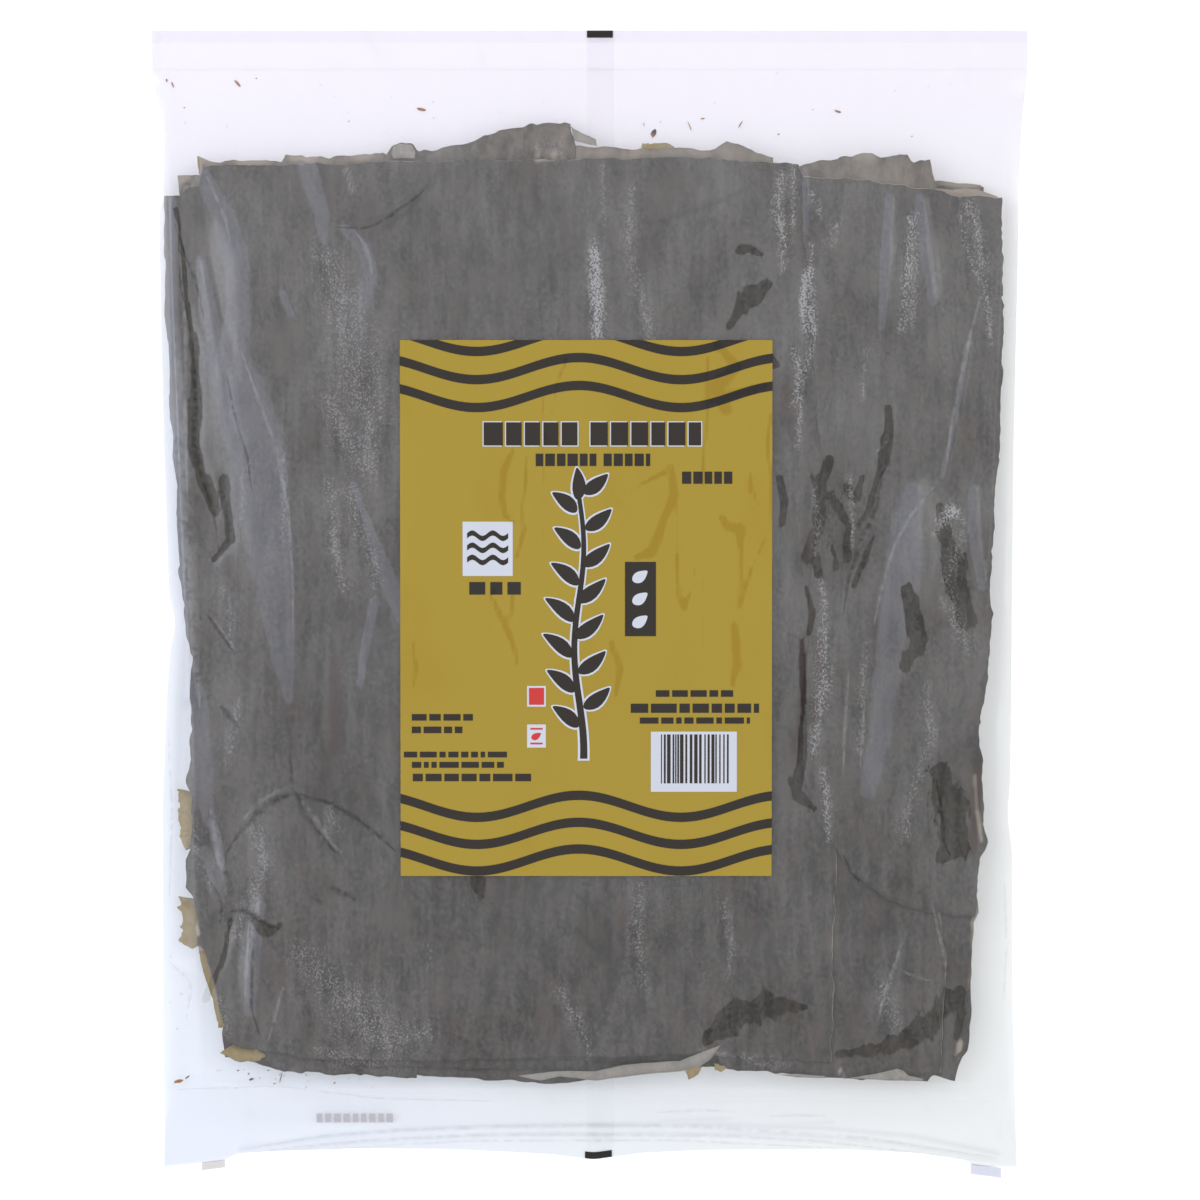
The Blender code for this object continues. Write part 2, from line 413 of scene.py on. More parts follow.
# clear film: see-through with a faint milky veil and a glossy skin
def filmMaterial(name, look):
    material, tree, shader = newMaterial(name)
    tree.nodes.remove(shader)
    fibre = bagNoise(tree, 150, 60, 3.0)
    creaseShade = readValue(tree, "creaseShade")
    # lifted film: a stronger milky veil where it stands off the kelp, and a bluish milk there that is a
    # painted reflection of the cool light
    liftedWithReflection = maths(tree, "ADD", readValue(tree, "lift"), swing(tree, fibre, 0.32))
    liftedWithReflection = ranged(tree, liftedWithReflection, 0.40, 0.60)
    cling = maths(tree, "ADD", readValue(tree, "cling"), swing(tree, fibre, 1.5))
    cling = ranged(tree, cling, 0.44, 0.53)
    haze = maths(tree, "MULTIPLY_ADD", liftedWithReflection, look["liftHazeAndReflection"], look["haze"])
    # the film's uneven cloudiness, with a painted reflection along its left edge
    haze = maths(tree, "MULTIPLY_ADD", readValue(tree, "cloudAndReflection"), look["cloudAndReflectionHaze"], haze)
    haze = maths(tree, "MULTIPLY", haze, ranged(tree, cling, 0.0, 1.0, 1.0, look["clingKeeps"]))
    milkWithReflection = mixColour(tree, liftedWithReflection, look["milk"], look["liftReflectionMilk"])
    milk = addNode(tree, "BsdfDiffuse", {"Color": milkWithReflection})
    place = addNode(tree, "SeparateXYZ", {0: addNode(tree, "TexCoord").outputs["Object"]})
    rightward = ranged(tree, place.outputs[0], -0.2, 0.2)
    tint = mixColour(tree, rightward, look["leftTint"], look["rightTint"])
    tint = mixColour(tree, ranged(tree, place.outputs[1], 0.12, 0.25), tint, look["topTint"])
    # painted shade along the creases, wrinkles and skirt ridges: a darker see-through tint
    tint = mixColour(tree, ranged(tree, creaseShade, 0.1, 1.0, 0.0, 0.6), tint, look["creaseShadeTint"])
    tint = mixColour(tree, cling, tint, look["clingTint"])
    clear = addNode(tree, "BsdfTransparent", {"Color": tint})
    ripple = addNode(tree, "Bump", {"Height": bagNoise(tree, 70, 30, 3.0), "Strength": 0.10,
                                    "Distance": 0.0008}).outputs[0]
    skin = addNode(tree, "BsdfGlossy", {"Color": (1, 1, 1, 1), "Roughness": look["roughness"],
                                        "Normal": ripple})
    facing = addNode(tree, "LayerWeight", {"Blend": 0.5}).outputs["Facing"]
    shine = maths(tree, "MULTIPLY_ADD", maths(tree, "POWER", facing, 5.0), 0.9, look["shine"])
    shine = maths(tree, "MULTIPLY", shine, ranged(tree, cling, 0.0, 1.0, 1.0, 0.5))
    body = addNode(tree, "MixShader", {0: haze, 1: clear.outputs[0], 2: milk.outputs[0]}).outputs[0]
    whole = addNode(tree, "MixShader", {0: shine, 1: body, 2: skin.outputs[0]}).outputs[0]
    tree.links.new(whole, tree.nodes["Material Output"].inputs["Surface"])
    return material


filmLook = {
    "haze": 0.045,
    "cloudAndReflectionHaze": 0.014,
    "liftHazeAndReflection": 0.043,
    "clingKeeps": 0.15,
    "shine": 0.032,
    "milk": (0.86, 0.86, 0.88, 1),
    "liftReflectionMilk": (0.78, 0.81, 0.93, 1),
    "leftTint": (0.985, 0.985, 0.995, 1),
    "rightTint": (0.980, 0.982, 0.980, 1),
    "topTint": (0.985, 0.980, 0.990, 1),
    "creaseShadeTint": (0.70, 0.70, 0.73, 1),
    "clingTint": (0.87, 0.88, 0.87, 1),
    "roughness": 0.2,
}
clearFilm = filmMaterial("clearFilm", filmLook)
backFilm = filmMaterial("backFilm", {**filmLook, "leftTint": (0.735, 0.760, 0.800, 1),
                                     "rightTint": (0.768, 0.776, 0.776, 1),
                                     "topTint": (0.800, 0.782, 0.818, 1)})
flapFilm = filmMaterial("flapFilm", {**filmLook, "leftTint": (0.66, 0.64, 0.64, 1),
                                     "rightTint": (0.65, 0.665, 0.735, 1)})
sealedFilm = filmMaterial("sealedFilm", {**filmLook, "haze": 0.006, "shine": 0.012,
                                         "leftTint": (0.992, 0.992, 0.996, 1),
                                         "rightTint": (0.992, 0.992, 0.994, 1)})


def makeFilm():
    mesh, u, v = flatGrid("filmFront", 280, 350)
    x, y = bagPlan(u, v, film["footRise"])
    movePoints(mesh, x, y, filmTopHeight(x, y))
    addValues(mesh, "lift", strokeField(x, y, lifts))
    addValues(mesh, "cling", strokeField(x, y, clinging))
    # mask for the painted shade along the creases, skirt ridges and fine wrinkles
    foldShadeMask = np.maximum(strokeField(x, y, creases), 0.55 * strokeField(x, y, skirtRidges))
    addValues(mesh, "creaseShade", np.maximum(foldShadeMask, 0.4 * wrinkles(x, y)))
    # painted reflection: a stronger milky veil along the left edge, where the sloping film faces the left
    # softbox
    leftEdgeReflection = smooth((edgeAt(film["leftEdge"], y, 4.0) + 8.5 - x) / 5.0) * smooth((y + 70) / 90)
    cloudAndReflection = 1.3 * y / 220 + uneven(x, y, 11, 46, 90) + 0.5 * uneven(x, y, 12, 13, 30) + 7.0 * leftEdgeReflection
    addValues(mesh, "cloudAndReflection", cloudAndReflection)
    front = addPiece("filmFront", mesh, clearFilm)
    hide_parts("kelp_bag")
    mesh, u, v = flatGrid("filmBack", 160, 150)
    x, y = bagPlan(u, v, film["backFootRise"])
    movePoints(mesh, x, y, underHeight(x, y))
    mesh.flip_normals()
    addPiece("filmBack", mesh, backFilm)


makeFilm()
print("film made")


# ---- sharp folds in the upper film: thin ribbons of painted shade along them, and of painted highlight where they catch the light

foldShadeLines = (
    ((-136, -90, 1.0), (-145.7, -93, 1.0), (-153, -99.6, 0.9), (-158.6, -105, 0.8), (-164, -111, 0.7),
     (-169, -120, 0.5)),
    ((-137, -88, 1.2), (-129.6, -100.7, 1.3), (-124.3, -109.3, 1.0), (-115.7, -119, 0.6)),
    ((-136, -90, 0.7), (-120, -94.3, 0.8), (-107, -101.8, 0.8), (-96.4, -110.4, 0.6),
     (-88.5, -118, 0.5)),
    ((-138, -86, 0.7), (-137, -80, 0.6), (-139, -73, 0.4)),
    ((-121, -133, 0.9), (-114.6, -135.4, 1.1), (-107, -139.6, 0.6)),
    ((-127.5, -137.5, 0.5), (-122, -143, 0.5)),
    ((-177.9, -6.4, 0.6), (-171.4, -15, 0.7), (-164, -25.7, 0.5)),
    ((-172, -48, 0.9), (-166, -55, 1.1), (-161, -62, 0.6)),
    ((-193.5, 178, 0.3), (-188.6, 163, 0.4), (-182, 145.7, 0.5), (-178, 128.6, 0.4)),
    ((-184, 122, 0.7), (-182.5, 96, 0.9), (-183, 72, 1.0), (-180, 58, 0.8), (-174, 40, 0.6),
     (-171, 20, 0.4)),
    ((-168, 105, 0.4), (-164, 84, 0.6), (-158, 66, 0.5), (-156, 48, 0.4)),
    ((-168, -146, 0.6), (-160, -143, 1.0), (-150, -150, 1.0), (-143, -153, 0.5)),
    ((-176, -130, 0.6), (-170, -140, 0.8), (-171, -152, 0.6)),
    ((-155, -150, 0.5), (-156, -170, 0.8), (-156.5, -190, 0.6), (-152, -204, 0.4)),
    ((135.6, 60, 1.5), (132.9, 43, 1.3), (126.4, 28, 1.1), (120, 10.7, 0.8), (117, -10, 0.5)),
    ((-73, 193, 0.4), (-81.4, 184.3, 0.6), (-94.3, 175.7, 0.7), (-101, 171.4, 0.5), (-118, 171.4, 0.4)),
    ((100, -22, 0.6), (98.5, -50, 0.8), (96, -78, 0.6)),
    ((117, -117, 0.5), (121, -127, 0.6), (126, -132, 0.4)),
    ((160, -82, 0.5), (163, -97, 0.7), (164, -115, 0.7), (169, -121, 0.5)),
)

foldHighlightLines = (
    ((182, 143.6, 0.6), (173.6, 111.4, 0.8), (168, 84, 0.8), (165, 62, 0.6)),
    ((-141.4, -178, 0.5), (-145, -192, 0.7), (-149, -206, 0.5)),
    ((-134, -92, 0.8), (-126.5, -102, 1.0), (-121, -110.5, 0.9), (-113, -119, 0.5)),
    ((-139, -87, 0.8), (-147, -90, 0.9), (-155, -96.5, 0.8), (-161, -103, 0.6)),
    ((163, 56, 0.5), (152, 43, 0.7), (145.7, 34, 0.7), (140.4, 23.6, 0.6), (135, 4.3, 0.6),
     (130.7, -15, 0.5)),
    ((-178, 197, 0.5), (-169, 178, 0.6), (-166, 164, 0.4)),
    ((-162, 118, 0.5), (-153, 92, 0.8), (-144, 68, 0.7), (-139, 40, 0.6), (-137, 10, 0.5),
     (-137, -20, 0.4)),
    ((-109, 171, 0.5), (-102, 160, 0.8), (-100, 148, 0.6)),
    ((139, 74, 0.4), (131, 66, 0.4)),
    ((-190, 168, 0.4), (-187, 120, 0.7), (-187, 80, 0.7), (-186, 40, 0.5)),
    ((-191.5, 132, 1.2), (-190, 92, 2.2), (-188.5, 50, 2.8), (-186, 10, 2.8), (-183, -25, 2.4),
     (-180, -52, 1.4)),
    ((-176, -96, 1.0), (-173, -112, 1.8), (-170, -128, 1.6), (-168, -140, 0.8)),
    ((158.6, -141, 0.4), (162.5, -158, 0.7), (165.5, -172, 0.6), (164, -178, 0.4)),
    ((132, -199, 0.5), (138, -178, 0.8), (145, -158, 0.6)),
    ((143, -172, 0.4), (152, -175, 0.6), (160, -178, 0.4)),
    ((-175, -8, 0.4), (-168.5, -17, 0.5), (-163, -24, 0.4)),
    ((-157.5, -148, 0.4), (-158.5, -168, 0.6), (-159, -188, 0.5)),
    ((117.2, -84, 0.4), (118, -60, 0.6), (120, -30, 0.4)),
    ((127, -50, 0.5), (125.5, -70, 0.7), (125, -82, 0.5)),
)

faintFoldShadeLines = (
    ((-160, -256, 0.7), (-124, -250, 0.8), (-90, -247.4, 0.8), (-47, -245.7, 0.8), (0, -245, 0.8),
     (43, -245.3, 0.8), (86, -247.9, 0.8), (129, -251, 0.8), (192, -260.5, 0.6)),
    ((-168, -259.6, 0.6), (-139, -255.4, 0.7), (-103, -252.1, 0.7), (-49, -249.4, 0.7),
     (0, -249.4, 0.7), (64, -250, 0.7), (107, -252.6, 0.7), (150, -257.5, 0.6), (190, -263, 0.5)),
    ((-150, -258, 0.4), (-60, -252.4, 0.5), (40, -252, 0.5), (120, -256, 0.4)),
    ((30, -238.8, 0.5), (52, -237.8, 0.6), (70, -238.4, 0.4)),
    ((82, -240.8, 0.5), (96, -240.2, 0.6), (112, -240.6, 0.4)),
    ((-197.4, -228.4, 0.5), (-170, -226.9, 0.5), (-143, -226, 0.5), (-100, -232, 0.4),
     (-40, -233.5, 0.5)),
    ((192.5, -130, 0.5), (193.6, -160, 0.7), (192, -190, 0.5)),
    ((-195.5, -60, 0.5), (-193.5, -100, 0.7), (-195, -140, 0.5)),
    ((-196, -168, 0.5), (-184, -178, 0.7), (-187, -196, 0.5)),
)


def foldShadeAndHighlightMaterial():
    material, tree, shader = newMaterial("foldShadeAndHighlight")
    tree.nodes.remove(shader)
    broken = ranged(tree, bagNoise(tree, 300, 300, 2.0), 0.3, 0.6)
    ridge = maths(tree, "MULTIPLY", readValue(tree, "ridge"), broken)
    light = readValue(tree, "light")
    shade = maths(tree, "MULTIPLY", ridge, maths(tree, "SUBTRACT", 1.0, light))
    # the dark ribbons are painted shade: a darker see-through tint
    tint = mixColour(tree, shade, (1, 1, 1, 1), (0.60, 0.59, 0.59, 1))
    clear = addNode(tree, "BsdfTransparent", {"Color": tint})
    # the light ribbons are a painted highlight: a share of pale diffuse white
    milk = addNode(tree, "BsdfDiffuse", {"Color": (0.85, 0.86, 0.90, 1)})
    share = maths(tree, "MULTIPLY", maths(tree, "MULTIPLY", ridge, light), 0.11)
    whole = addNode(tree, "MixShader", {0: share, 1: clear.outputs[0], 2: milk.outputs[0]}).outputs[0]
    tree.links.new(whole, tree.nodes["Material Output"].inputs["Surface"])
    return material


# adds a narrow ribbon along a line of (x, y, half width), pointed at both ends
def addRibbon(shape, line):
    points = np.array(line, dtype=float)
    reached = np.concatenate(([0.0], np.cumsum(np.hypot(np.diff(points[:, 0]), np.diff(points[:, 1])))))
    runs = [list(zip(reached, points[:, column])) for column in range(3)]
    steps = max(4, round(reached[-1] / 1.2))
    made = bmesh.ops.create_grid(shape, x_segments=steps, y_segments=2, size=1.0)["verts"]
    part = (np.array([vertex.co.x for vertex in made]) + 1) / 2
    side = np.array([vertex.co.y for vertex in made])
    t = part * reached[-1]
    x, y, half = [edgeAt(run, t, 4.0) for run in runs]
    dx, dy = [edgeAt(run, t + 0.5, 4.0) - edgeAt(run, t - 0.5, 4.0) for run in runs[:2]]
    reach = 2.0 * half * side * np.sqrt(np.clip(4 * part * (1 - part), 0.0, 1.0)) / np.hypot(dx, dy)
    for vertex, across, along in zip(made, x - dy * reach, y + dx * reach):
        vertex.co = (across, along, 0)
    return 1 - np.abs(side)


def makeFoldShadesAndHighlights():
    shape = bmesh.new()
    ridge = []
    light = []
    for lines, strength, glow in ((foldShadeLines, 0.7, 0.0), (faintFoldShadeLines, 0.22, 0.0), (foldHighlightLines, 1.0, 1.0)):
        for line in lines:
            across = addRibbon(shape, line)
            ridge.extend(strength * across)
            light.extend([glow] * len(across))
    x, y = placesOf(shape)
    mesh = meshFrom("foldShadesAndHighlights", shape)
    movePoints(mesh, x, y, filmTopHeight(x, y) + film["foldLift"])
    addValues(mesh, "ridge", ridge)
    addValues(mesh, "light", light)
    addPiece("foldShadesAndHighlights", mesh, foldShadeAndHighlightMaterial())


makeFoldShadesAndHighlights()
print("folds made")


# ---- the sheets of kelp

def kelpMaterial(name, look):
    material, tree, shader = newMaterial(name)
    tone = readValue(tree, "tone")
    mottle = readValue(tree, "mottle")
    shift = addNode(tree, "CombineXYZ", {0: tone, 1: tone, 2: tone}).outputs[0]
    streak = bagNoise(tree, 240, 24, 3.0, shift)
    grain = bagNoise(tree, 620, 460, 1.0)
    clump = bagNoise(tree, 130, 80, 3.0, shift)
    shade = maths(tree, "MULTIPLY_ADD", streak, 0.36, maths(tree, "MULTIPLY", grain, 0.32))
    shade = maths(tree, "MULTIPLY_ADD", clump, 0.32, shade)
    shade = maths(tree, "MULTIPLY_ADD", mottle, 0.03, shade)
    shade = maths(tree, "ADD", shade, swing(tree, tone, 0.06))
    shade = maths(tree, "MULTIPLY_ADD", readValue(tree, "dim"), -0.075, shade)
    colour = mixColour(tree, ranged(tree, shade, 0.30, 0.70), look["dark"], look["light"])
    brown = maths(tree, "MULTIPLY_ADD", mottle, -0.10, clump)
    colour = mixColour(tree, ranged(tree, brown, 0.40, 0.75, 0.0, 0.5), colour, look["brown"])
    colour = mixColour(tree, readValue(tree, "stain"), colour, look["stain"])
    thin = maths(tree, "ADD", readValue(tree, "thin"), swing(tree, clump, 0.6))
    colour = mixColour(tree, ranged(tree, thin, 0.2, 1.0), colour, look["thin"])
    # salt dries on the surface as a faint bloom with fine specks in it
    salted = readValue(tree, "powder")
    drift = maths(tree, "ADD", swing(tree, clump, 1.2), swing(tree, streak, 1.2))
    powder = maths(tree, "MULTIPLY_ADD", drift, ranged(tree, salted, 0.0, 0.3), salted)
    dust = bagNoise(tree, 1300, 1100, 2.0)
    specks = ranged(tree, maths(tree, "MULTIPLY_ADD", powder, 0.14, dust), 0.61, 0.69)
    specks = maths(tree, "MULTIPLY", specks, ranged(tree, salted, 0.2, 1.2, 0.07, look["powderShare"]))
    bloom = ranged(tree, powder, 0.05, 1.0, 0.0, 0.015)
    colour = mixColour(tree, maths(tree, "ADD", specks, bloom), colour, look["powder"])
    # a pale line along the cut edges: the edges' own paler colour, with a painted highlight on them
    edgeAndHighlight = maths(tree, "ADD", readValue(tree, "rim"), swing(tree, clump, 0.8))
    edgeAndHighlight = ranged(tree, edgeAndHighlight, 0.55, 0.90, 0.0, 0.85)
    colour = mixColour(tree, edgeAndHighlight, colour, look["cutEdgeAndHighlight"])
    tree.links.new(colour, shader.inputs["Base Color"])
    tree.links.new(ranged(tree, clump, 0.3, 0.7, 0.52, 0.74), shader.inputs["Roughness"])
    shader.inputs["Specular IOR Level"].default_value = 0.25
    bump = addNode(tree, "Bump", {"Height": grain, "Strength": 0.3, "Distance": 0.0004}).outputs[0]
    tree.links.new(bump, shader.inputs["Normal"])
    return material


driedKelp = kelpMaterial("driedKelp", {
    "dark": (0.014, 0.012, 0.010, 1),
    "light": (0.090, 0.081, 0.074, 1),
    "brown": (0.060, 0.045, 0.034, 1),
    "stain": (0.030, 0.010, 0.007, 1),
    "thin": (0.29, 0.245, 0.195, 1),
    "cutEdgeAndHighlight": (0.40, 0.33, 0.25, 1),
    "powder": (0.50, 0.50, 0.52, 1),
    "powderShare": 0.52,
})
thinKelp = kelpMaterial("thinKelp", {
    "dark": (0.215, 0.148, 0.048, 1),
    "light": (0.300, 0.238, 0.112, 1),
    "brown": (0.250, 0.202, 0.112, 1),
    "stain": (0.10, 0.05, 0.03, 1),
    "thin": (0.45, 0.38, 0.28, 1),
    "cutEdgeAndHighlight": (0.22, 0.14, 0.07, 1),
    "powder": (0.60, 0.58, 0.55, 1),
    "powderShare": 0.2,
})
paleKelp = kelpMaterial("paleKelp", {
    "dark": (0.19, 0.175, 0.155, 1),
    "light": (0.30, 0.28, 0.255, 1),
    "brown": (0.22, 0.18, 0.14, 1),
    "stain": (0.10, 0.05, 0.03, 1),
    "thin": (0.30, 0.27, 0.23, 1),
    "cutEdgeAndHighlight": (0.22, 0.14, 0.07, 1),
    "powder": (0.60, 0.58, 0.55, 1),
    "powderShare": 0.2,
})

powdered = (
    ((-122, 158, 9), (-116, 140, 13), (-110, 122, 15), (-106, 104, 17), (-102, 84, 15), (-104, 64, 11)),
    ((-120, 92, 5.6), (-113, 74, 10), (-102, 60, 9.3)),
    ((-120, 55, 3.7), (-119, 27, 5.6), (-113, 4, 3.7)),
    ((-134, -162, 8), (-120, -179, 13), (-107, -191, 20), (-92, -205, 14), (-76, -200, 8)),
    ((-127, -208, 2.8), (-116, -213, 6.5), (-97, -215, 3.7)),
    ((-113, 201, 2.3), (-110, 189, 2.8)),
    ((-58, 205.4, 1.0), (-52, 206.4, 1.2)),
    ((-44, 204.4, 0.9), (-39, 205, 0.9)),
    ((-30, 207, 2.0), (-16, 212, 3.0), (-13, 205, 3.0)),
    ((2, 166, 2.8), (4, 143, 4.6), (5, 120, 4.2), (2, 92, 2.3)),
    ((6, 201, 1.4), (7, 171, 1.9)),
    ((20, 189, 2.8), (18, 166, 4.2), (23, 143, 4.6), (28, 120, 3.7)),
    ((101, 150, 2.3), (100, 138, 2.3), (102, 125, 1.9)),
    ((114, 173, 4.2), (111, 164, 3.7)),
    ((128, 115, 1.9), (126, 92, 1.9)),
    ((152, 178, 2.8), (151, 152, 2.8), (149, 125, 2.3)),
    ((135, -179, 6.5), (139, -193, 6.5), (144, -200, 3.7)),
    ((160, 36, 1.9), (167, 43, 3.7), (173, 36, 2.8)),
    ((156, -42, 3.7), (158, -56, 2.3)),
    ((163, -1, 2.3), (172, -19, 3.7)),
    ((172, 30, 4.6), (166, 8, 3.7), (170, -12, 5.6), (176, -24, 3.7)),
    ((154, -46, 2.8), (158, -62, 4.6), (150, -88, 3.7), (146, -110, 4.6)),
    ((128, -20, 2.0), (126, -44, 2.8), (124, -70, 2.0)),
    ((-169, 4, 2.8), (-166, -10, 3.7), (-168, -24, 2.3)),
    ((-110, 50, 6), (-107, 32, 5), (-100, 20, 6), (-98, 4, 4)),
    ((-154, -104, 4), (-150, -124, 6), (-158, -140, 6), (-164, -158, 5)),
    ((-120, -96, 4), (-118, -106, 5)),
    ((-162, -47, 1.9), (-166, -68, 3.7), (-168, -77, 2.3)),
    ((-14, -182, 4.2), (-2, -200, 5.6), (0, -212, 2.8)),
    ((23, -133, 3.6), (22, -154, 5.0), (25, -182, 4.2)),
    ((62, -140, 2.4), (66, -160, 3.2), (64, -176, 2.4)),
    ((51, -209, 1.9), (84, -215, 3.7), (93, -216, 1.9)),
    ((-183, -103, 1.9), (-181, -121, 2.8), (-176, -135, 1.9)),
    ((-171, -186, 3.7), (-169, -200, 3.7)),
    ((-160, 60, 1.9), (-161, 36, 1.4)),
    ((-142, 67, 3.2), (-142, 46, 3.7), (-142, 27, 1.4)),
)

# the same, thicker and whiter
saltRuns = (
    ((89, 196, 3.0), (87, 180, 4.2), (90, 166, 3.8), (89, 152, 2.6)),
    ((94, 206, 1.6), (95, 190, 2.2), (94, 172, 1.6)),
    ((103, 164, 1.6), (102, 146, 2.4), (104, 124, 2.4), (98, 96, 1.8), (96, 70, 1.6)),
    ((148, 176, 1.8), (146, 150, 2.2), (144, 124, 1.8)),
    ((172, 178, 1.6), (174, 164, 2.0), (180, 148, 1.6)),
    ((103, 187, 2.2), (106, 178, 2.0)),
    ((94, 116, 2.4), (98, 104, 3.6), (95, 90, 2.8)),
    ((107, 8, 1.6), (109, -4, 2.4), (108, -20, 4.0), (109, -38, 5.0), (105, -56, 3.8),
     (103.5, -72, 2.4)),
    ((109, -84, 1.8), (110, -98, 1.8), (110.5, -110, 1.2)),
    ((176, 182, 4.0), (181, 166, 3.4), (184, 138, 2.6), (186, 118, 1.8)),
    ((-75, -160, 1.2), (-73, -166, 1.2), (-75.5, -171, 1.2)),
    ((2, 160, 1.8), (3, 140, 2.6), (3, 122, 2.0)),
    ((100, 150, 1.6), (98, 132, 2.0), (100, 120, 1.4)),
    ((160, 30, 1.6), (168, 40, 2.4)),
    ((104, 52, 1.6), (106, 36, 2.0), (104, 20, 1.6)),
    ((120, 56, 1.2), (122, 38, 1.6), (121, 24, 1.2)),
    ((108, -80, 2.6), (109.5, -96, 2.8), (110.5, -112, 1.8)),
)

thinned = (  # worn golden brown margins
    ((-181, -163, 1.6), (-177.5, -178, 3.0), (-173, -192, 1.6)),
    ((-186, -139, 1.0), (-182, -155, 1.6)),
    ((178.4, -82, 0.4), (179.5, -98, 0.7), (181.6, -112, 0.8)),
    ((172, -205, 0.8), (171, -212, 1.0)),
    ((116, -219, 0.7), (118, -222, 1.0)),
    ((-24, 204, 1.6), (-16, 205, 1.2)),
)

dimmed = (  # darker stretches
    ((-118, -18, 14), (-112, -58, 24), (-108, -100, 18)),
    ((-60, -146, 30), (-20, -160, 34), (30, -170, 28)),
    ((72, -150, 16), (84, -176, 18)),
    ((120, -118, 14), (130, -160, 20), (128, -196, 12)),
    ((-84, 188, 10), (-60, 160, 20), (-20, 150, 20)),
)

stained = (
    ((-117, -28, 1.2), (-117, -47, 2.4), (-118.5, -72, 1.5)),
    ((-93, -52, 0.8), (-89, -69, 0.8)),
    ((99, -17, 0.6), (98, -47, 1.2), (95, -70, 0.8)),
    ((105, -19, 2.3), (108, -38, 1.9), (103, -56, 1.4)),
    ((179, -75, 1.4), (180, -93, 1.4), (177, -117, 1.9)),
)

stack = {
    "layers": 18,
    "thickness": 0.45,
    "scrapThickness": 0.22,
    "belowFilm": 0.5,
    "aboveFilm": 0.45,
    "ownWave": 0.16,
    "tear": 0.9,  # how far a torn edge wanders
    "crowding": 1.0,  # how much finer the grid is near a sheet's sides
    "firstLow": -215.0,  # where the fitting of a grid to its sides starts
    "firstLength": 420.0,
}

# the sheets that show, from the top of the stack down; each side is a line of (y, x) or (x, y) points
frontSheets = {
    "sheetFront": {
        "layer": 16, "grid": (190, 250), "tone": 0.55, "cutEdgesAndHighlight": {"right": 0.85, "top": 0.75},
        "left": ((-214, -167), (-202, -168.5), (-188, -172.5), (-177, -175.5), (-164, -178),
                 (-162, -181.5), (-150, -182.5), (-138, -183), (-134, -187), (-121, -187),
                 (-116, -184.5), (-104, -184), (-91, -184.5), (-85, -187.5), (-79, -185.3), (-52, -184),
                 (-42, -185.3), (-28, -184), (-15, -187), (0, -188), (13, -190), (46, -191),
                 (78, -193.6), (115, -195.4), (125, -196.8), (200, -196.8)),
        "right": ((-220, 112), (100, 118), (170, 104), (196, 99), (206, 96)),
        "top": ((-198, 187), (-189, 186.2), (-187, 190.4), (-181, 190.9), (-179, 200.4), (-142, 201),
                (-79, 202.3), (-20, 203.2), (40, 204.6), (86, 202), (125, 199)),
        "bottom": ((-170, -204), (-160, -208.5), (-130, -213), (-80, -214.5), (-30, -213), (10, -212.5),
                   (44, -211), (60, -212.5), (112, -215)),
        "thinEdge": 0.25,
    },
    "sheetRight": {
        "layer": 17, "grid": (80, 260), "tone": 0.45, "cutEdgesAndHighlight": {"top": 0.95, "bottom": 0.2},
        "left": ((-150, 112), (-112, 108), (-84, 97.7), (-60, 99), (-28, 100.6), (2, 101.5),
                 (27, 104.8), (64, 108), (83, 104.8), (125, 103.5), (166, 99.3), (196, 98.5)),
        "right": ((-148, 178.5), (-135, 179.3), (-121, 181.1), (-114, 184.2), (-103, 182), (-75, 182),
                  (-68, 180.2), (-54, 181), (-47, 183.4), (-24, 185.8), (-5, 186.7), (9, 185.3),
                  (32, 187.1), (55, 188.1), (69, 190.4), (125, 191.6), (187, 191.2)),
        "top": ((98, 196), (120, 194.6), (161, 189), (166, 187.6), (172, 186.4), (192, 185.8)),
        "bottom": ((97, -84), (104, -102), (111.7, -112), (120.5, -125.5), (138, -139), (153, -144.6),
                   (178, -147.7)),
        "thinEdge": 0.2,
    },
}

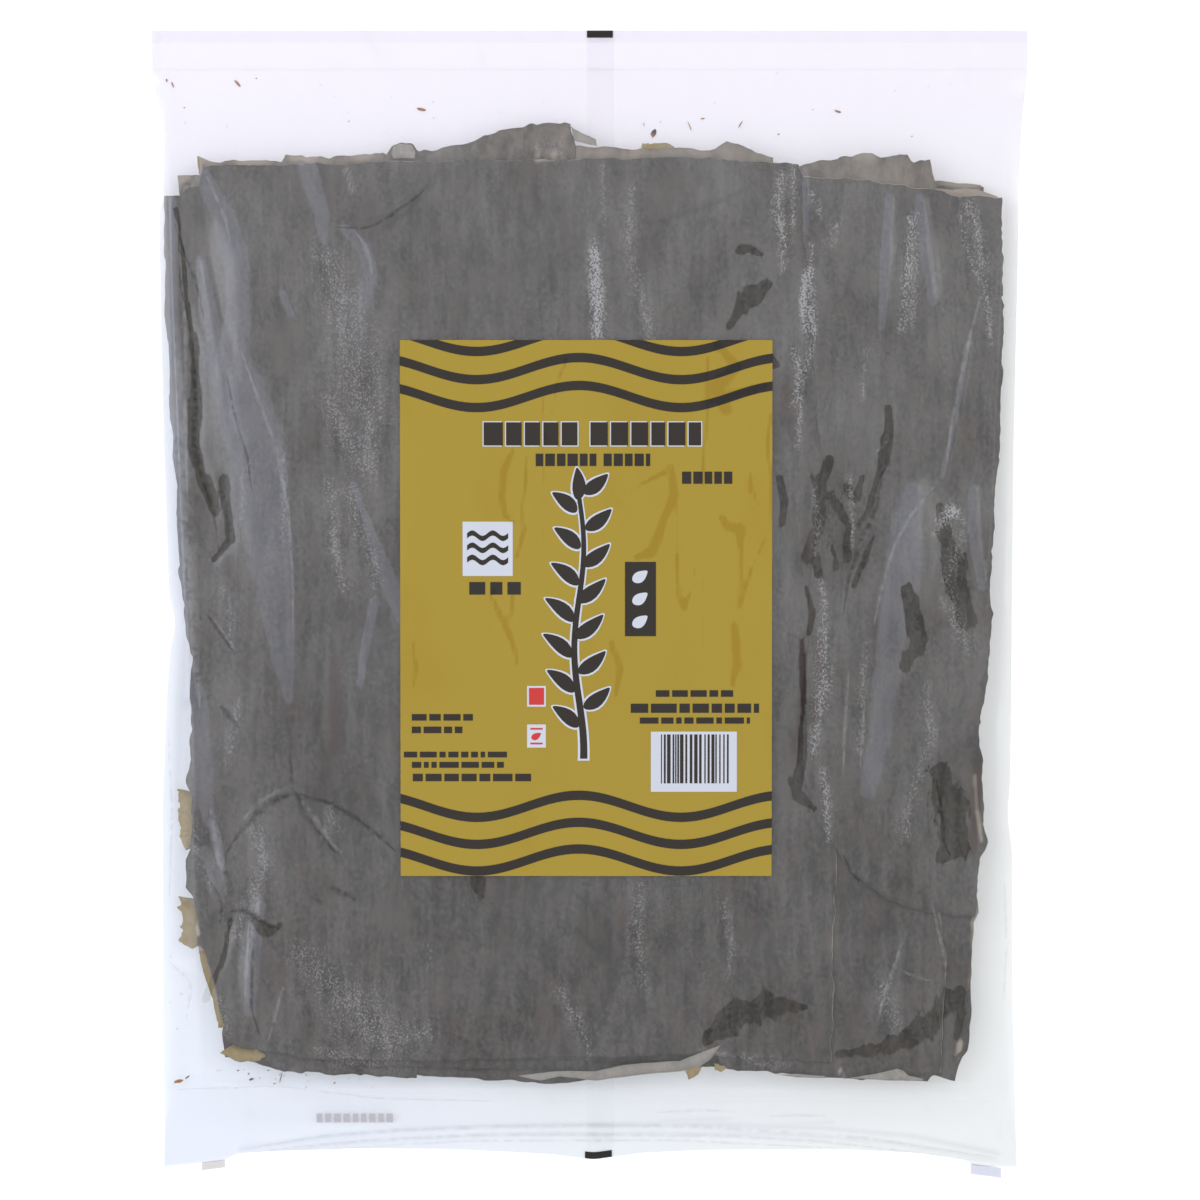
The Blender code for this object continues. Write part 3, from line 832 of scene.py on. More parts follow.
deeperSheets = {
    "behindRight": {
        "layer": 15, "pale": 0.52, "tone": 0.6,
        "left": ((-219, 60), (205, 64)),
        "right": ((-219, 163), (-176, 165), (-168, 165.3), (-150, 162.7), (-134, 161.2), (150, 161),
                  (189, 160.7), (203, 157.5)),
        "cutEdgesAndHighlight": {"right": 0.85},
        "top": ((62, 199), (97, 201), (131, 206.6), (134.7, 204.8), (147.3, 205.7), (149.6, 201.5),
                (157, 203.4)),
        "bottom": ((58, -217.5), (84, -219.6), (130, -222.9), (158, -221)),
        "thinEdge": 0.5,
    },
    "lowerRight": {
        "layer": 14, "tone": 0.4,
        "left": ((-220, 70), (190, 80)),
        "right": ((-223, 169.5), (-214, 171.8), (-209, 175.5), (-186, 177.4), (-168, 176.9),
                  (-151, 177.9), (-147, 180.2), (-120, 178), (190, 183)),
        "top": ((70, 190), (183, 184)),
        "bottom": ((70, -216), (112, -219), (130, -222.4), (157, -223.6), (158.5, -220.8),
                   (170, -223.3)),
        "thinEdge": 0.6,
    },
    "behindMiddle": {
        "layer": 13, "pale": 0.62, "tone": 0.5,
        "left": ((-216, -20), (209, -6)),
        "right": ((-216, 90), (200, 90), (201, 86)),
        "top": ((-6, 209.4), (4, 209.3), (18.8, 208), (24.8, 208.6), (42, 208.8), (58.2, 208),
                (63.8, 212.2), (86, 204.3), (87, 200.6)),
        "bottom": ((-20, -214), (92, -215)),
        "thinEdge": 0.8,
    },
    "bump": {
        "layer": 12, "tear": 1.3, "pale": 0.42, "tone": 0.35,
        "left": ((-214, -112), (205, -97)),
        "right": ((-214, -2), (209, -6), (219, -9)),
        "top": ((-98, 204), (-94.8, 204.3), (-91.6, 209.4), (-87.9, 210.8), (-81.9, 210.3),
                (-79.5, 206.6), (-74, 207.1), (-50.8, 212.7), (-41.5, 217.3), (-27.6, 219.6),
                (-19.2, 221.5), (-9, 219.6)),
        "bottom": ((-112, -217), (-2, -219)),
        "thinEdge": 0.45,
    },
    "behindLeft": {
        "layer": 11, "pale": 0.60, "tone": 0.62,
        "left": ((-212, -160), (100, -184), (196, -179.7), (205, -181.6)),
        "right": ((-212, -80), (207, -92)),
        "top": ((-182, 205), (-176, 202.9), (-142.2, 202.9), (-141.2, 205.7), (-120.4, 204.8),
                (-97.2, 207.1), (-94, 205.5)),
        "bottom": ((-160, -213.5), (-148, -217.6), (-134.3, -220.1), (-80.9, -221.9)),
        "thinEdge": 1.0,
    },
    "rightmost": {
        "layer": 10, "pale": 1.1, "tone": 0.3,
        "left": ((-212, 95), (190, 110)),
        "right": ((-212, 170), (-120, 178), (0, 183), (70, 188), (186, 190.5), (189, 181.3)),
        "top": ((110, 188), (160, 189.5), (181, 189.9), (181.6, 187), (190.8, 185.9)),
        "bottom": ((95, -214), (170, -216)),
        "thinEdge": 1.0,
    },
    "lowest": {
        "layer": 9, "pale": 0.7, "tone": 0.5,
        "left": ((-221, -150), (200, -186)),
        "right": ((-221, 66), (200, 120)),
        "top": ((-186, 196), (120, 198)),
        "bottom": ((-155, -214), (-134, -219), (-81, -221.4), (-27.6, -224.2), (-13.7, -224.7),
                   (23.4, -219.8), (44.3, -217.4), (66, -218)),
        "thinEdge": 0.7,
    },
}


# fits a flat grid between four ragged sides
def fitSides(u, v, sides, seed):
    tear = sides.get("tear", stack["tear"])
    u, v = (u + 1) / 2, (v + 1) / 2
    y = stack["firstLow"] + stack["firstLength"] * v
    for _ in range(4):
        left = edgeAt(sides["left"], y) + torn(y, seed, tear)
        right = edgeAt(sides["right"], y) + torn(y, seed + 1, tear)
        x = left + (right - left) * u
        top = edgeAt(sides["top"], x) + torn(x, seed + 2, tear)
        bottom = edgeAt(sides["bottom"], x) + torn(x, seed + 3, tear)
        y = bottom + (top - bottom) * v
    return x, y


# height of a sheet's middle: its share of the room between the two films, with a wave of its own
def sheetHeight(x, y, layer, seed):
    floor = underHeight(x, y) + stack["aboveFilm"]
    roof = coverHeight(x, y) - stack["belowFilm"]
    share = (layer + 0.5) / stack["layers"]
    wave = stack["ownWave"] * np.clip(uneven(x, y, seed + 5, 60, 110), -1.5, 1.5)
    return floor + (roof - floor) * share + wave


def sheetMesh(name, sheet, grid, seed):
    mesh, u, v = flatGrid(name, *grid)
    u = np.sin(u * stack["crowding"]) / math.sin(stack["crowding"])
    v = np.sin(v * stack["crowding"]) / math.sin(stack["crowding"])
    x, y = fitSides(u, v, sheet, seed)
    movePoints(mesh, x, y, sheetHeight(x, y, sheet["layer"], seed))
    toSide = (1 - np.abs(u)) * np.ptp(x) / 2
    toEnd = (1 - np.abs(v)) * np.ptp(y) / 2
    # how strong each side's pale edge line with its painted highlight is
    rim = np.zeros(len(x))
    atSide = {"left": u < -0.999, "right": u > 0.999, "bottom": v < -0.999, "top": v > 0.999}
    for side, isThere in atSide.items():
        rim[isThere] = sheet.get("cutEdgesAndHighlight", {}).get(side, 0.5)
    addValues(mesh, "rim", rim)
    thinness = sheet["thinEdge"] * (0.75 + 0.5 * uneven(x, y, seed + 6, 24, 36))
    thinness = thinness * (0.3 + 0.7 * smooth((y + 212) / 30))  # the lower ends stay thick and dark
    thinReach = 4.5 + 2.0 * uneven(x, y, seed + 7, 30, 30)
    thinness = np.clip(thinness, 0, 1.2) * (1 - smooth(np.minimum(toSide, toEnd * 0.6) / thinReach))
    worn = smooth(strokeField(x, y, thinned) / 0.8)
    pale = sheet.get("pale", 0.0) * smooth((y - 160) / 30)  # where only a thin end reaches past the rest
    addValues(mesh, "thin", np.maximum(np.maximum(thinness, worn), pale))
    addValues(mesh, "powder", 0.7 * strokeField(x, y, powdered) + 0.9 * strokeField(x, y, saltRuns))
    addValues(mesh, "dim", strokeField(x, y, dimmed))
    addValues(mesh, "stain", 0.85 * smooth(strokeField(x, y, stained) / 0.9))
    addValues(mesh, "mottle", uneven(x, y, seed + 8, 30, 52) + 0.6 * uneven(x, y, seed + 9, 9, 26))
    addValues(mesh, "tone", np.full(len(x), sheet["tone"]))
    return mesh


def makeFrontSheets():
    for index, (name, sheet) in enumerate(frontSheets.items()):
        mesh = sheetMesh(name, sheet, sheet["grid"], 100 + 20 * index)
        piece = addPiece(name, mesh, driedKelp)
        thicken(piece, stack["thickness"])


# several sheets joined into one piece
def joinMeshes(name, meshes):
    joined = bmesh.new()
    for mesh in meshes:
        joined.from_mesh(mesh)
        bpy.data.meshes.remove(mesh)
    return meshFrom(name, joined)


def makeDeeperSheets():
    meshes = [sheetMesh(name, sheet, (80, 84), 300 + 20 * index)
              for index, (name, sheet) in enumerate(deeperSheets.items())]
    piece = addPiece("sheetsBehind", joinMeshes("sheetsBehind", meshes), driedKelp)
    thicken(piece, stack["thickness"])


# the rest of the stack: plain sheets, each a little smaller or turned against the next
def makeInnerSheets():
    pick = np.random.default_rng(7)
    meshes = []
    for layer in range(9):
        inset = pick.uniform(1.5, 9.0, 4)
        lean = pick.uniform(-2.5, 2.5)
        sheet = {
            "layer": layer, "tone": pick.uniform(0.2, 0.8), "thinEdge": pick.uniform(0.3, 1.0),
            "left": ((-215, -172 + inset[0] - lean), (200, -193 + inset[0] + lean)),
            "right": ((-215, 171 - inset[1] - lean), (200, 189 - inset[1] + lean)),
            "top": ((-190, 196 - inset[2] - lean), (0, 205 - inset[2]), (190, 194 - inset[2] + lean)),
            "bottom": ((-170, -215 + inset[3] + lean), (0, -220 + inset[3]),
                       (170, -217 + inset[3] - lean)),
        }
        meshes.append(sheetMesh(f"inner{layer}", sheet, (70, 74), 600 + 20 * layer))
    piece = addPiece("sheetsBelow", joinMeshes("sheetsBelow", meshes), driedKelp)
    thicken(piece, stack["thickness"])


makeFrontSheets()
makeDeeperSheets()
makeInnerSheets()
print("kelp sheets made")


# ---- loose thin scraps and crumbs

# each scrap is a small outline in plan, with the layer it lies in
scraps = (
    (8, ((-191.6, -88.6), (-190.4, -90), (-191.2, -93.6), (-190.1, -96), (-191.1, -98.4),
         (-190.3, -105), (-189.4, -106.4), (-190.6, -110.5), (-187.6, -116.6), (-181, -115),
         (-181, -90))),
    (8, ((-190.9, -138.2), (-189.4, -141.8), (-191.6, -143.4), (-189.2, -146), (-188.8, -150.6),
         (-190.3, -152.4), (-188.9, -154.2), (-190.6, -158.8), (-188.9, -160.4), (-184.2, -162.6),
         (-178, -160), (-179, -140))),
    (8, ((-181.5, -162), (-180.2, -170), (-178.2, -177), (-175.4, -184), (-173.8, -192), (-172.2, -199),
         (-167, -199), (-169, -180), (-175, -162))),
    (12, ((-171.4, -210.8), (-165, -207.1), (-153.5, -209), (-150, -212), (-154, -214.6),
          (-162.1, -215.2))),
    (17, ((44.1, -218.8), (48, -217.2), (51.9, -217.0), (50.3, -220.4), (46, -222.9), (45.4, -220.6))),
    (15, ((57.8, -215), (61, -216.4), (68, -216.5), (67.5, -218.2), (63, -218), (61.5, -219.6),
          (57.8, -218.4))),
    (13, ((110.6, -215), (114, -216.2), (119.6, -216), (117.4, -219), (118.4, -222.6), (113.5, -221.4),
          (112.6, -218))),
    (13, ((170.3, -203), (173.6, -204.5), (174.4, -208), (171.4, -212.6), (168.4, -213.5),
          (170.4, -208))),
    (9, ((-182, 205.4), (-175.5, 202), (-176, 190), (-181, 197))),
    (11, ((-5.8, 208.5), (0.8, 208.8), (1.5, 202), (-4, 202))),
    (11, ((24.3, 211.2), (30, 210.9), (36, 211.5), (40, 208.6), (37, 205.5), (24, 206))),
    (9, ((169, 190), (181, 190), (181, 186), (171, 186.5))),
    (8, ((128, 206), (134.5, 205), (133, 199), (128, 199))),
)

# pale slivers of thin kelp, at the top edge and along the lower one
paleScraps = (
    (14, ((-11, 220), (-8.6, 219), (-7, 212), (3.6, 209.8), (3, 213), (-4, 216))),
    (17, ((-33, -221), (-13.2, -218.7), (3, -219), (16, -216.1), (26, -215.1), (42, -214.1),
          (50.6, -210.6), (61, -206.7), (55.8, -213.5), (50.6, -217.1), (42, -219), (29, -220),
          (16, -221.6), (3, -223.3), (-14, -221.4), (-23, -223.4))),
    (17, ((120.5, -222.2), (134.6, -219.7), (142.7, -217.8), (145.7, -218.9), (148, -221.1),
          (155, -222.6), (153, -223.4), (138, -223.2))),
    (16, ((86, -220.4), (100, -220.5), (109, -221.2), (109, -222.2), (96, -221.9))),
    (15, ((-91.8, 206), (-91, 209.6), (-87.9, 210.9), (-82.5, 210.4), (-80.6, 207), (-81, 204),
          (-91, 204))),
)

# each crumb is x, y, length, width, turn in degrees
crumbs = (
    (-196.7, 241.0, 2.4, 1.0, -75), (-193.9, 239.0, 3.2, 0.9, -70), (-163.5, 239.4, 5.2, 1.3, -42),
    (-155, 242, 1.2, 0.6, 0), (-78.2, 227.6, 6.4, 1.7, -12), (-188.5, 228.4, 1.2, 0.7, 0),
    (30.0, 216.4, 4.8, 2.8, 75), (25.3, 220.5, 2.0, 0.5, 85), (46.7, 219.6, 7.2, 0.5, -70),
    (52.7, 223.3, 2.4, 0.8, 10), (70.3, 220.7, 4.6, 0.5, 55), (115.7, 226.5, 3.8, 1.6, -18),
    (87, 244.3, 0.7, 0.5, 0), (-191.1, -224.3, 5.0, 1.9, 12), (-187, -222.6, 3.2, 0.7, 35),
    (-163.5, -219.6, 1.4, 0.7, 30), (-158.6, -221.2, 1.2, 0.6, 60), (-157.2, -223.6, 2.6, 1.0, 20),
    (-143.6, -223.0, 6.6, 0.5, 75), (-146.5, -225.4, 1.4, 0.6, 0), (-118.5, -225.2, 1.3, 0.7, 20),
    (-112, 222, 1.0, 0.5, 0), (150, 215, 1.1, 0.5, 30), (-168.8, -206.5, 2.0, 0.5, 70),
    (-149.5, -219.5, 1.3, 0.6, 20), (88, 216, 1.2, 0.6, 0), (-181.4, -144, 2.2, 1.2, -30),
    (-186.3, -157, 2.4, 1.0, 60),
)

# finer crumbs are strewn over three stretches, each a range of x and one of y
fineCrumbs = {
    "count": 46,
    "lowerEdge": ((-175, -95), (-227.5, -219)),
    "topMargin": ((-190, 180), (216, 240)),
    "leftSide": ((-195, -188), (-200, -150)),
}


def turnFacesUp(shape):
    shape.normal_update()
    bmesh.ops.reverse_faces(shape, faces=[face for face in shape.faces if face.normal.z < 0])


# thin flat cut-outs, each with its rim roughened and laid at its own layer's height
def makeScraps(name, outlines, material, seed, jitter):
    pick = np.random.default_rng(seed)
    parts = []
    for layer, outline in outlines:
        shape = bmesh.new()
        shape.faces.new([shape.verts.new((x, y, 0)) for x, y in outline])
        bmesh.ops.subdivide_edges(shape, edges=shape.edges[:], cuts=3)
        for vertex in shape.verts:
            vertex.co.x += pick.uniform(-jitter, jitter)
            vertex.co.y += pick.uniform(-jitter, jitter)
        turnFacesUp(shape)
        bmesh.ops.triangulate(shape, faces=shape.faces[:])
        bmesh.ops.subdivide_edges(shape, edges=shape.edges[:], cuts=1)
        heights = sheetHeight(*placesOf(shape), layer, seed)
        for vertex, height in zip(shape.verts, heights):
            vertex.co.z = height
        bmesh.ops.scale(shape, vec=(mm, mm, mm), verts=shape.verts[:])
        parts.append(meshFrom(name, shape))
    mesh = joinMeshes(name, parts)
    addValues(mesh, "tone", np.full(len(mesh.vertices), 0.5))
    piece = addPiece(name, mesh, material)
    thicken(piece, stack["scrapThickness"])


def crumbMaterial():
    material, tree, shader = newMaterial("kelpCrumbs")
    tone = bagNoise(tree, 90, 90, 1.0)
    tone = ranged(tree, tone, 0.4, 0.6)
    colour = mixColour(tree, tone, (0.030, 0.016, 0.010, 1), (0.30, 0.11, 0.03, 1))
    tree.links.new(colour, shader.inputs["Base Color"])
    shader.inputs["Roughness"].default_value = 0.7
    return material


def makeCrumbs():
    pick = np.random.default_rng(31)
    every = list(crumbs)
    for _ in range(fineCrumbs["count"]):
        zone = pick.uniform(0, 1)
        stretch = "lowerEdge" if zone < 0.5 else "topMargin" if zone < 0.85 else "leftSide"
        place = [pick.uniform(low, high) for low, high in fineCrumbs[stretch]]
        every.append((*place, pick.uniform(0.4, 0.9), pick.uniform(0.3, 0.5), pick.uniform(0, 180)))
    shape = bmesh.new()
    for x, y, length, width, turn in every:
        bit = bmesh.ops.create_icosphere(shape, subdivisions=1, radius=1.0)["verts"]
        for vertex in bit:
            vertex.co *= 1 + pick.uniform(-0.35, 0.2)
        bmesh.ops.scale(shape, vec=(length / 2, width / 2, 0.18), verts=bit)
        bmesh.ops.rotate(shape, matrix=Matrix.Rotation(math.radians(turn), 3, "Z"), verts=bit)
        height = underHeight(np.array([x]), np.array([y]))[0] + 0.35
        bmesh.ops.translate(shape, vec=(x, y, height), verts=bit)
    bmesh.ops.scale(shape, vec=(mm, mm, mm), verts=shape.verts[:])
    addPiece("crumbs", meshFrom("crumbs", shape), crumbMaterial(), smoothShaded=False)


makeScraps("goldenScraps", scraps, thinKelp, 41, 0.35)
makeScraps("paleScraps", paleScraps, paleKelp, 42, 0.12)
makeCrumbs()
print("scraps and crumbs made")


# ---- the print on the upper film

label = {
    "left": -87.6, "right": 84.6, "bottom": -128.2, "top": 119.4,
    "narrowing": 0.005 / 248,  # share of its width that the print loses for each mm down
    "goldLift": 0.12,  # heights of the inks over the film
    "whiteLift": 0.20,
    "darkLift": 0.28,
    "markLift": 0.36,
    "waveLength": 94.6,
    "waveHeight": 5.1,
    "waveCrest": -4.9,
    "waveHalf": 2.15,
    "waves": (119.2, 106.2, 93.3, -96.0, -108.5, -120.8),  # middles of the wavy bands
    # lines of plain blocks: seed, left, bottom, right, top, shortest, longest and gap
    "titleShadows": (
        (51, -49.4, 70.2, -5.0, 81.9, 6.4, 9.0, 1.5),
        (52, 0.0, 70.2, 52.2, 81.9, 6.4, 9.0, 1.5),
    ),
    "titles": (
        (51, -48.9, 70.7, -5.5, 81.4, 6.4, 9.0, 1.5),
        (52, 0.5, 70.7, 51.7, 81.4, 6.4, 9.0, 1.5),
        (53, -24.8, 61.2, 3.2, 66.9, 3.4, 4.8, 1.0),
        (54, 6.6, 61.2, 28.1, 66.9, 3.4, 4.8, 1.0),
        (55, 42.9, 53.0, 67.0, 58.6, 3.2, 4.4, 1.0),
    ),
    "smallLines": (
        (56, -55.6, 1.8, -31.8, 7.6, 5.5, 8.0, 2.4),
        (57, -82.3, -56.4, -53.6, -53.4),
        (58, -82.3, -62.2, -57.3, -59.2),
        (59, -86.0, -73.4, -36.4, -70.8),
        (60, -82.3, -78.2, -39.7, -75.5),
        (61, -81.9, -84.4, -27.1, -81.0),
        (62, 30.8, -45.4, 66.6, -42.4),
        (63, 19.2, -52.8, 78.6, -48.6, 3.0, 12.0),
        (64, 23.4, -57.8, 74.4, -55.0),
    ),
    # boxes: left, bottom, right, top and the size of a cell
    "whiteBoxes": (
        (-58.7, 10.4, -35.5, 35.5, 3.0),
        (28.5, -89.3, 68.4, -61.5, 3.0),
        (-28.9, -50.0, -20.2, -40.4),
        (-28.9, -68.9, -20.2, -58.2),
    ),
    "darkBox": (16.5, -17.4, 30.8, 16.9, 3.0),
    "redBoxes": (
        (-28.0, -49.1, -21.0, -41.3),
        (-27.4, -60.6, -21.7, -59.8),
        (-27.4, -67.4, -21.7, -66.6),
    ),
}

# where the printed film clings to the kelp and its gold turns deeper
deepGold = (
    ((-35.5, 68.7, 1.0), (-40, 58.4, 2.0), (-40.7, 47, 1.6), (-39, 38, 1.4), (-34.4, 34.5, 0.8)),
    ((-28.7, 66.4, 0.7), (-29.8, 54, 1.0), (-31, 42.5, 1.1), (-30.4, 31, 1.3), (-33.3, 19.7, 0.7)),
    ((-23, 107, 0.5), (-22, 92.6, 0.7), (-20.7, 79, 0.8), (-21, 42, 0.6), (-21.9, 20, 0.5)),
    ((-10.5, 111, 0.5), (-15, 99.4, 0.8), (-17.3, 84.6, 0.6)),
    ((35, 58.4, 1.6), (23.7, 52.7, 0.6), (12.3, 43.6, 0.6), (11.2, 37, 0.5)),
    ((37.4, 62, 1.5), (39.6, 48.2, 2.2), (35, 38, 2.0), (29.4, 22, 2.8), (22, 19, 1.6)),
    ((40.8, 43.6, 0.6), (40.2, 20, 0.6), (41.4, 1.5, 1.6), (43.6, -4.2, 2.0), (46.5, 2.6, 0.7),
     (48.8, 14, 0.5)),
    ((54.4, 111, 0.8), (54.4, 88, 0.9), (52.2, 54, 0.6), (51, 25, 0.6), (53.3, -3, 0.6),
     (51, -37, 0.5)),
    ((59, 117.6, 2.2), (68, 107.4, 2.6), (58, 97, 4.4), (63.6, 87, 3.0)),
    ((55, 91.5, 2.4), (66, 94, 2.6), (80.6, 98, 2.2)),
    ((73.8, 58.4, 1.2), (75, 50, 1.4), (78.4, 42.5, 0.6)),
    ((61, 38, 1.4), (64, 33, 2.4), (69.3, 32, 3.0), (70, 22, 1.2), (69.3, -3, 0.6)),
    ((81.8, 28.8, 0.6), (75, 14, 0.8), (69.3, -4.2, 1.2)),
    ((84, 84.6, 1.4), (82.4, 71, 0.6), (84, 58.4, 1.4), (83.5, 30, 1.0)),
    ((-45.8, 1.5, 1.2), (-40, -9.9, 2.0), (-34.4, -23.6, 1.2), (-33.8, -30, 0.6)),
    ((-35.5, 1.5, 1.0), (-36.7, -9.9, 0.6)),
    ((67, -12, 2.0), (68, -31, 2.6), (66, -40, 1.0)),
    ((-81, -20, 0.6), (-80, -32, 1.4), (-81, -40, 0.6)),
    ((10, -20, 1.6), (14, -32, 2.2), (12, -45, 1.0)),
)


def labelWave(x):
    return label["waveHeight"] * np.cos((x - label["waveCrest"]) * 2 * math.pi / label["waveLength"])


def addBlock(shape, left, bottom, right, top, cell=6.0):
    across = max(1, round((right - left) / cell))
    along = max(1, round((top - bottom) / cell))
    made = bmesh.ops.create_grid(shape, x_segments=across, y_segments=along, size=0.5)["verts"]
    bmesh.ops.scale(shape, vec=(right - left, top - bottom, 1), verts=made)
    bmesh.ops.translate(shape, vec=((left + right) / 2, (bottom + top) / 2, 0), verts=made)
    return made


# a pointed blade from a circle, drawn out to its length and turned to its angle
def addBlade(shape, x, y, length, width, turn, grow=0.0):
    made = bmesh.ops.create_circle(shape, cap_ends=True, segments=20, radius=1.0)["verts"]
    for vertex in made:
        vertex.co.y *= (1 - 0.35 * vertex.co.x) * (1 - 0.25 * vertex.co.x ** 2)
    bmesh.ops.scale(shape, vec=(length / 2 + grow, width / 2 + grow, 1), verts=made)
    for vertex in made:
        vertex.co.y += 0.012 * vertex.co.x ** 2
    bmesh.ops.rotate(shape, matrix=Matrix.Rotation(math.radians(turn), 3, "Z"), verts=made)
    bmesh.ops.translate(shape, vec=(x, y, 0), verts=made)


# a kelp frond in place of lettering: a wavy stem with blades on both sides
def addFrond(shape, grow):
    stem = addBlock(shape, -1.4 - grow, -74 - grow, 1.4 + grow, 50 + grow, 3.0)
    for vertex in stem:
        vertex.co.x *= 1.2 - 0.004 * (vertex.co.y + 74)
        vertex.co.x += -4.8 + 2.2 * math.sin(vertex.co.y / 15)
    for step in range(7):
        y = -58 + step * 16.5
        x = -4.8 + 2.2 * math.sin(y / 15)
        length = 17.5 - 0.9 * abs(step - 2.5)
        addBlade(shape, x - 7.2, y + 4.0, length, 6.2, 180 - 38, grow)
        addBlade(shape, x + 7.2, y + 11.5, length, 6.2, 38, grow)
    addBlade(shape, -4.8, 53, 15, 6.0, 92, grow)


# a line of small blocks in word lengths
def addWords(shape, seed, left, bottom, right, top, shortest=2.0, longest=9.0, gap=1.3):
    pick = np.random.default_rng(seed)
    x = left
    while x < right - 0.8:
        end = min(x + pick.uniform(shortest, longest), right)
        addBlock(shape, x, bottom, end, top)
        x = end + gap


# lays a flat shape in millimetres on the upper film and makes it a piece
def layPrint(name, shape, lift, material):
    bmesh.ops.triangulate(shape, faces=[face for face in shape.faces if len(face.verts) > 4])
    turnFacesUp(shape)
    x, y = placesOf(shape)
    x = x * (1 - label["narrowing"] * (label["top"] - y))
    mesh = meshFrom(name, shape)
    movePoints(mesh, x, y, filmTopHeight(x, y) + lift)
    addValues(mesh, "deep", strokeField(x, y, deepGold, 1.0))
    return addPiece(name, mesh, material)


def inkMaterial(name, colour, deepColour, roughness):
    material, tree, shader = newMaterial(name)
    fibre = bagNoise(tree, 240, 70, 3.0)
    cloud = bagNoise(tree, 30, 14, 3.0)
    deep = maths(tree, "ADD", readValue(tree, "deep"), swing(tree, fibre, 0.7))
    deep = ranged(tree, deep, 0.36, 0.75, 0.0, 0.8)
    deep = maths(tree, "MAXIMUM", deep, ranged(tree, cloud, 0.45, 0.8, 0.0, 0.3))
    tree.links.new(mixColour(tree, deep, colour, deepColour), shader.inputs["Base Color"])
    shader.inputs["Roughness"].default_value = roughness
    shader.inputs["Specular IOR Level"].default_value = 0.35
    bump = addNode(tree, "Bump", {"Height": fibre, "Strength": 0.12, "Distance": 0.0005}).outputs[0]
    tree.links.new(bump, shader.inputs["Normal"])
    return material


goldInk = inkMaterial("goldInk", (0.325, 0.226, 0.020, 1), (0.270, 0.165, 0.004, 1), 0.38)
darkInk = inkMaterial("darkInk", (0.018, 0.013, 0.009, 1), (0.006, 0.005, 0.004, 1), 0.42)
whiteInk = inkMaterial("whiteInk", (0.53, 0.55, 0.62, 1), (0.48, 0.49, 0.54, 1), 0.40)
redInk = inkMaterial("redInk", (0.52, 0.030, 0.030, 1), (0.45, 0.020, 0.020, 1), 0.40)
greyInk = inkMaterial("greyInk", (0.44, 0.42, 0.46, 1), (0.44, 0.42, 0.46, 1), 0.6)


def makeLabel():
    gold = bmesh.new()
    addBlock(gold, label["left"], label["bottom"], label["right"], label["top"], 2.0)
    layPrint("goldPanel", gold, label["goldLift"], goldInk)

    white = bmesh.new()
    addFrond(white, 0.9)
    for line in label["titleShadows"]:
        addWords(white, *line)
    for box in label["whiteBoxes"]:
        addBlock(white, *box)
    layPrint("whitePrint", white, label["whiteLift"], whiteInk)

    dark = bmesh.new()
    width = label["right"] - label["left"]
    for middle in label["waves"]:
        band = bmesh.ops.create_grid(dark, x_segments=90, y_segments=2, size=0.5)["verts"]
        bmesh.ops.scale(dark, vec=(width, 2 * label["waveHalf"], 1), verts=band)
        bmesh.ops.translate(dark, vec=((label["left"] + label["right"]) / 2, middle, 0), verts=band)
        for vertex in band:
            vertex.co.y += labelWave(vertex.co.x)
    for edge, side in ((label["top"], 1), (label["bottom"], -1)):
        parts = dark.verts[:] + dark.edges[:] + dark.faces[:]
        bmesh.ops.bisect_plane(dark, geom=parts, plane_co=(0, edge, 0), plane_no=(0, side, 0),
                               clear_outer=True)
    for line in label["titles"]:
        addWords(dark, *line)
    addFrond(dark, 0.0)
    addBlock(dark, *label["darkBox"])
    for step in range(3):  # wave stripes in the white square
        stripe = addBlock(dark, -56.6, 16.6 + 5.6 * step, -37.6, 19.0 + 5.6 * step, 1.2)
        for vertex in stripe:
            vertex.co.y += 1.3 * math.sin((vertex.co.x + 56.6) * 2 * math.pi / 9.5)
    for line in label["smallLines"]:
        addWords(dark, *line)
    pick = np.random.default_rng(65)
    x = 33.2
    while x < 64.2:  # plain upright stripes on the white panel
        stripe = pick.uniform(0.4, 1.7)
        addBlock(dark, x, -85.4, min(x + stripe, 64.6), -62.8, 8.0)
        x += stripe + pick.uniform(0.4, 1.3)
    layPrint("darkPrint", dark, label["darkLift"], darkInk)

    marks = bmesh.new()
    for y in (10.2, 0.0, -10.6):
        addBlade(marks, 23.6, y, 8.2, 5.0, 35)
    layPrint("whiteMarks", marks, label["markLift"], whiteInk)

    red = bmesh.new()
    for box in label["redBoxes"]:
        addBlock(red, *box)
    addBlade(red, -24.6, -63.6, 5.0, 3.0, 30)
    layPrint("redPrint", red, label["darkLift"], redInk)


makeLabel()
print("label made")


# ---- seals, the back seam, the top band and the marks at both ends

# each strip is left, bottom, right and top
ends = {
    "backSeam": (-1.2, -halfLength, 11.4, halfLength),
    "topBand": (-203.6, 258.6, 203.6, 264.2),
    "topSeal": (-203.0, 245.4, 203.0, 246.7),
    "lowSealLeft": (-197.8, -226.4, -111, -225.4),
    "lowSealRight": (-20, -234.6, 188, -233.6),
    "marks": ((-1.2, 260.9, 10.9, 264.2), (-2.1, -264.3, 10.4, -261.0)),
    "dateDashes": (-127.8, -243.6, -91.6, -239.4),
    "footFlaps": ((-180.5, -269.6, -169.5, -265.9), (177.2, -271.2, 191.6, -266.3)),
    "seamLift": -0.07,  # heights over the film that a strip lies on
    "sealLift": 0.06,
    "flapLift": -0.05,
    "markLift": 0.12,
    "dashLift": 0.05,
    "cell": 2.2,
}


